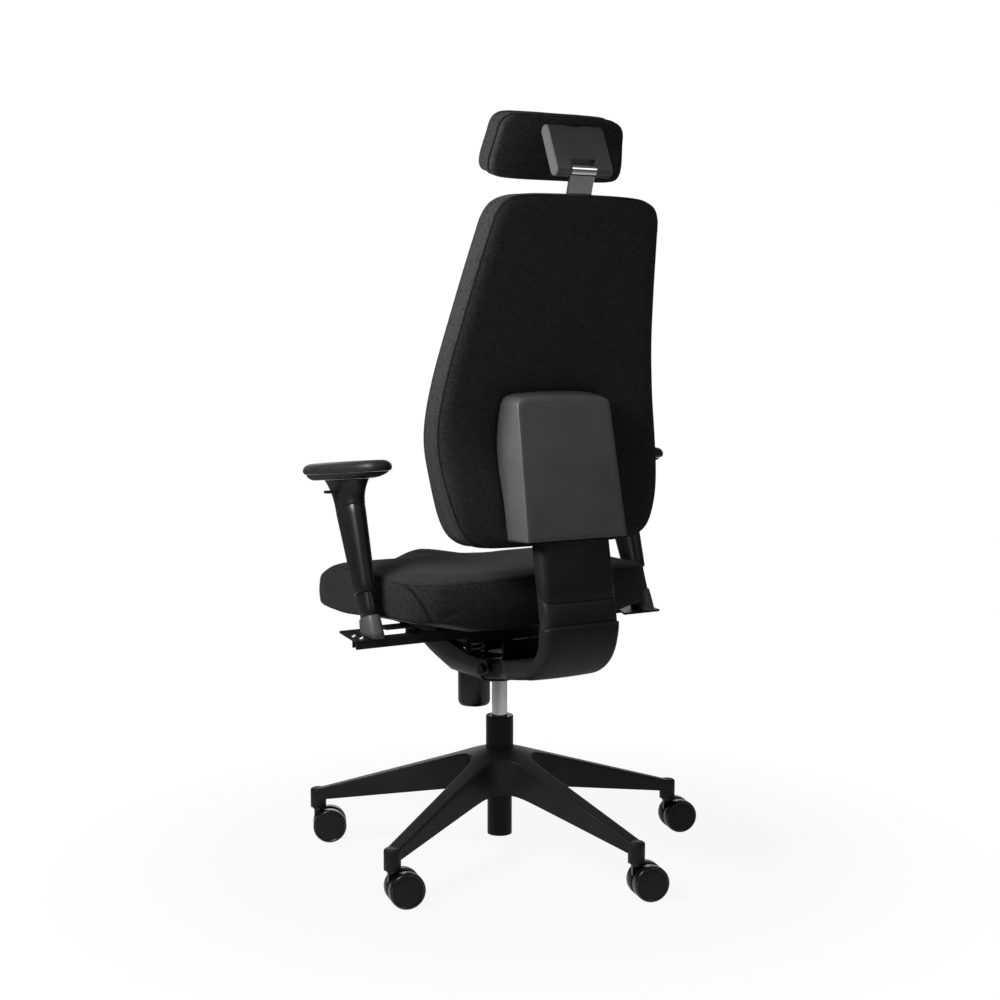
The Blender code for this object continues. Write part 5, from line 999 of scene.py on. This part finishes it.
def arm_ring(inner, outer, half, outer_round, inner_round):
    """A rounded oblong between two points of the side view, its outer side crowned by a parabola."""
    inner, outer = np.asarray(inner), np.asarray(outer)
    thick = np.linalg.norm(outer - inner)
    loop = []
    for start, side, far in ((0, 1, True), (90, -1, True), (180, -1, False), (270, 1, False)):
        turn = np.radians(np.linspace(start, start + 90, 10))
        radius = min(outer_round if far else inner_round, 0.47 * thick)
        across = side * (half - radius) + radius * np.cos(turn)
        deep = (thick - radius if far else radius) + radius * np.sin(turn)
        loop.append(np.stack([across, deep], axis=1))
    loop = spaced(np.vstack(loop), BACK_ARM_COUNT)
    loop[:, 1] += REAR_CROWN * loop[:, 1] / thick * (1 - (loop[:, 0] / half) ** 2)
    way = (outer - inner) / thick
    return np.column_stack([loop[:, 0], inner + loop[:, 1:] * way]) + COLUMN


def upright_oblong(height, inset, slope=1.0):
    """A section across the upright at a height along it, whose plane falls towards the rear."""
    lean = math.radians(UPRIGHT_LEAN)
    up, out = np.array((-math.sin(lean), math.cos(lean))), np.array((math.cos(lean), math.sin(lean)))
    middle = np.asarray(UPRIGHT_AT) + height * up
    reach = (BAND_THICK / 2 - inset) * (out - slope * SEAM_SLOPE * up)
    return arm_ring(middle - reach, middle + reach, BAND_HALF - inset, 0.0120, 0.008)


def make_back_arm():
    """The J: oblongs round the lug, along the sloping limb, round two unequal bends and up the band."""
    rings = []
    for turn in np.radians((14, 40, 65, 90)):
        y = LUG_AT[0] - LUG_R * math.cos(turn)
        rise = LUG_R * math.sin(turn)
        rings.append(arm_ring((y, LUG_AT[1] + rise), (y, LUG_AT[1] - rise), TONGUE_HALF, 0.003, 0.003))
    for y in np.linspace(0.056, 0.180, 16):
        half = TONGUE_HALF + (ARM_HALF - TONGUE_HALF) * smooth_step((y - 0.086) / 0.060)
        corner = 0.004 + 0.014 * smooth_step((y - 0.080) / 0.080)
        top, low = np.interp(y, *LIMB_TOP), np.interp(y, *LIMB_LOW)
        rings.append(arm_ring((y, top), (y, low), half, corner, 0.006))
    for share in np.linspace(0.03, 1.0, 26):
        ends = []
        for (y, z, radius), last in ((INNER_BEND, UPRIGHT_LEAN), (OUTER_BEND, 6.3)):
            turn = math.radians(-90 + share * (90 + last))
            ends.append((y + radius * math.cos(turn), z + radius * math.sin(turn)))
        rings.append(arm_ring(*ends, ARM_HALF, 0.018 - 0.006 * smooth_step((share - 0.55) / 0.45), 0.008))
    for height, inset in (
        (-0.0240, 0.0006), (-0.0230, 0.0030), (-0.0218, 0.0030), (-0.0212, 0.0008), (-0.0200, 0.0),
        (0.0, 0.0), (0.0206, 0.0), (0.0216, 0.0006), (0.0220, 0.0020), (0.0226, 0.0022),
    ):
        rings.append(upright_oblong(height, inset))
    piece = skin("back_arm_shell", rings, FINISH["nylon"])
    settle(piece, "back_support", "satin_plastic", "back_arm")
    sections = (
        (COVER_FROM, 0.0100, 1.0), (COVER_FROM, 0.0018, 1.0), (COVER_FROM + 0.0004, 0.0006, 1.0),
        (COVER_FROM + 0.0014, 0.0, 1.0), (0.060, 0.0, 1.0), (0.100, 0.0, 0.6), (0.140, 0.0, 0.0),
        (COVER_TO - 0.0010, 0.0003, 0.0), (COVER_TO, 0.0014, 0.0),
    )
    shell = skin("back_arm_cover_shell", [upright_oblong(*section) for section in sections], FINISH["nylon"])
    settle(shell, "back_support", "satin_plastic", "back_arm_cover")


make_back_arm()


STOP_Y, STOP_HALF, STOP_LOW, STOP_TOP = 0.0895, (0.048, 0.0032), 0.3740, 0.4128


def make_stop():
    """The stop on the limb behind the carrier: a flat upright oblong with a rounded top edge."""
    rings = []
    edge = ((STOP_TOP - 0.0030, 0.0), (STOP_TOP - 0.0008, 0.0006), (STOP_TOP, 0.0018))
    for height, inset in ((STOP_LOW, 0.0), *edge):
        plan = oval(np.asarray(STOP_HALF) - inset, 80, 8.0) + (0.0, STOP_Y)
        rings.append(np.column_stack([plan, np.full(len(plan), height)]) + COLUMN)
    settle(skin("back_arm_stop", rings, FINISH["black_paint"]), "back_support", "black_paint")


make_stop()


# Turned pieces

def turned(name, profile, centre, axis, finish, steps=96):
    """A surface of revolution: (radius, distance along the axis) points swept round an axis."""
    axis = np.asarray(axis) / np.linalg.norm(axis)
    across = np.cross(axis, (0.0, 0.0, 1.0) if abs(axis[2]) < 0.9 else (1.0, 0.0, 0.0))
    across /= np.linalg.norm(across)
    angle = np.linspace(0.0, 2 * np.pi, steps, endpoint=False)
    round_it = np.cos(angle)[:, None] * across + np.sin(angle)[:, None] * np.cross(axis, across)
    rings = [np.asarray(centre) + radius * round_it + along * axis for radius, along in profile]
    return skin(name, rings, finish)


WHEEL_PROFILE = (
    (0.0100, -0.0096), (0.0268, -0.0100), (0.0294, -0.0094), (0.0306, -0.0080), (0.0310, -0.0060),
    (0.0310, 0.0048), (0.0307, 0.0070), (0.0299, 0.0086), (0.0287, 0.0096), (0.0274, 0.0100),
    (0.0266, 0.0097), (0.0262, 0.0088), (0.0200, 0.0086),
)
DISC_PROFILE = (
    (0.0200, 0.0070), (0.0254, 0.0072), (0.0258, 0.0082), (0.0254, 0.0090), (0.0244, 0.0094),
    (0.0180, 0.0098), (0.0090, 0.0100), (0.0020, 0.0101),
)


def make_wheels():
    """A turned tyre and an outer disc in the place of each caster wheel."""
    for number in range(1, 6):
        middles = {}
        for letter in "ab":
            low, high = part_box(f"caster_{number}_wheel_{letter}")
            middles[letter] = (np.asarray(low) + np.asarray(high)) / 2
        for letter, other in ("ab", "ba"):
            outward = (middles[letter] - middles[other]) * (1.0, 1.0, 0.0)
            body = f"caster_{number}_{letter}"
            wheel = turned(f"{body}_tyre", WHEEL_PROFILE, middles[letter], outward, FINISH["caster_plastic"])
            settle(wheel, body, "caster_plastic", f"caster_{number}_wheel_{letter}")
            disc = turned(f"{body}_disc", DISC_PROFILE, middles[letter], outward, FINISH["nylon"])
            settle(disc, body, "nylon")


make_wheels()


LEG_COUNT, LEG_FIRST_ANGLE, CASTER_CIRCLE_R = 5, 28.3, 0.350
HUB_R, HUB_BOTTOM, HUB_BORE = 0.036, 0.131, 0.0258
LEG_ROOT_HALF, LEG_END_HALF = 0.0170, 0.0130
LEG_FLARE, LEG_FLARE_FROM, LEG_FLARE_LENGTH = 0.019, 0.050, 0.013
LEG_TOP, LEG_UNDER = (0.2074, 0.0995), (0.1325, 0.0800)
STAR_WEB_FLARE = 0.0540
SOCKET_R, SOCKET_TOP, SOCKET_BOTTOM, STEM_R = 0.0146, 0.1012, 0.0645, 0.0058


def star_outline():
    """The star in plan: legs taper and flare exponentially into a round web; their tips are half circles."""
    r = np.concatenate([np.linspace(STAR_WEB_FLARE, 0.110, 28), np.linspace(0.125, CASTER_CIRCLE_R, 14)])
    half = LEG_ROOT_HALF + (LEG_END_HALF - LEG_ROOT_HALF) * r / CASTER_CIRCLE_R
    half = half + LEG_FLARE * np.exp(-(r - LEG_FLARE_FROM) / LEG_FLARE_LENGTH)
    start = math.atan2(half[0], r[0])
    web = np.linspace(math.pi / LEG_COUNT, start, 6)[:-1]
    web_r = math.hypot(half[0], r[0])
    turn = np.linspace(90.0, 0.0, 13)[1:] * math.pi / 180
    along = np.concatenate([web_r * np.cos(web), r, CASTER_CIRCLE_R + LEG_END_HALF * np.cos(turn)])
    across = np.concatenate([web_r * np.sin(web), half, LEG_END_HALF * np.sin(turn)])
    side = np.column_stack([along, -across])
    leg = np.vstack([side, (side * (1.0, -1.0))[-2:0:-1]])
    legs = []
    for number in range(LEG_COUNT):
        angle = math.radians(LEG_FIRST_ANGLE + number * 360 / LEG_COUNT)
        spin = np.array(((math.cos(angle), math.sin(angle)), (-math.sin(angle), math.cos(angle))))
        legs.append(leg @ spin)
    return np.vstack(legs)


def make_star():
    """The base: walls down from the star's edge, a rounded rim, a cone on top, hollow below, a bore."""
    outline = star_outline()

    def cone(plan, heights, extra=0.0):
        share = np.linalg.norm(plan, axis=1) / CASTER_CIRCLE_R
        z = heights[0] + share * (heights[1] - heights[0]) + extra
        return np.column_stack([plan, z]) + COLUMN

    round_bore = outline / np.linalg.norm(outline, axis=1)[:, None]
    rings = [cone(drawn_in(outline, 0.0036), LEG_UNDER), cone(outline, LEG_UNDER)]
    rings.append(cone(outline, LEG_UNDER, 0.0008))
    rim = ((0.0, 0.0036), (0.0, 0.0030), (0.0004, 0.0018), (0.0011, 0.0008), (0.0022, 0.0002), (0.0034, 0.0))
    rings += [cone(drawn_in(outline, inset), LEG_TOP, -drop) for inset, drop in rim]
    edge = drawn_in(outline, 0.0040)
    for share in (1.0, 0.75, 0.5, 0.25, 0.0):
        rings.append(cone(between(HUB_BORE * round_bore, edge, share), LEG_TOP))
    for radius in (HUB_BORE, HUB_R):
        rings.append(np.column_stack([radius * round_bore, np.full(len(outline), HUB_BOTTOM)]) + COLUMN)
    rings.append(cone((HUB_R + 0.001) * round_bore, LEG_TOP, -0.0050))
    rings.append(cone(drawn_in(outline, 0.0042), LEG_TOP, -0.0050))
    star = skin("base_star", rings, FINISH["nylon"], hollow=True)
    star.modifiers.new("edge_soften", "NODES").node_group = SOFTEN
    settle(star, "base", "nylon", "five_star_base")

    socket_wall = (
        (STEM_R, SOCKET_TOP - 0.020), (STEM_R, SOCKET_BOTTOM), (SOCKET_R - 0.0006, SOCKET_BOTTOM),
        (SOCKET_R, SOCKET_BOTTOM + 0.0006), (SOCKET_R, SOCKET_TOP - 0.0044),
        (SOCKET_R - 0.0004, SOCKET_TOP - 0.0030), (SOCKET_R - 0.0014, SOCKET_TOP - 0.0016),
        (SOCKET_R - 0.0030, SOCKET_TOP - 0.0006), (0.0080, SOCKET_TOP), (0.0010, SOCKET_TOP + 0.0002),
    )
    for number in range(LEG_COUNT):
        angle = math.radians(LEG_FIRST_ANGLE + number * 360 / LEG_COUNT)
        place = COLUMN + CASTER_CIRCLE_R * np.array((math.cos(angle), math.sin(angle), 0.0))
        socket = turned(f"base_socket_{number + 1}", socket_wall, place, (0, 0, 1), FINISH["nylon"], 64)
        settle(socket, "base", "nylon")


make_star()


SCREW_HEAD = (
    (0.0010, 0.0012), (0.0021, 0.0012), (0.0022, 0.0027), (0.0028, 0.0031), (0.0040, 0.0026),
    (0.0050, 0.0014), (0.0053, 0.0003), (0.0053, -0.0002), (0.0020, -0.0002),
)
BAR_SCREWS, BAR_TOP, BAR_TURN = ((0.3105, 0.0340), (0.3080, 0.0580)), 0.437, 0.040


def make_screws():
    """Button heads with a socket, two on each arm bar; the right bar is the left one turned about."""
    for name, side in (("left", 1), ("right", -1)):
        for number, (x, y) in enumerate(BAR_SCREWS):
            place = np.array((side * x, y if side > 0 else BAR_TURN - y, BAR_TOP)) + COLUMN
            screw = turned(f"{name}_bar_screw_{number}", SCREW_HEAD, place, (0, 0, 1), FINISH["steel"], 40)
            settle(screw, f"{name}_arm", "steel")


make_screws()
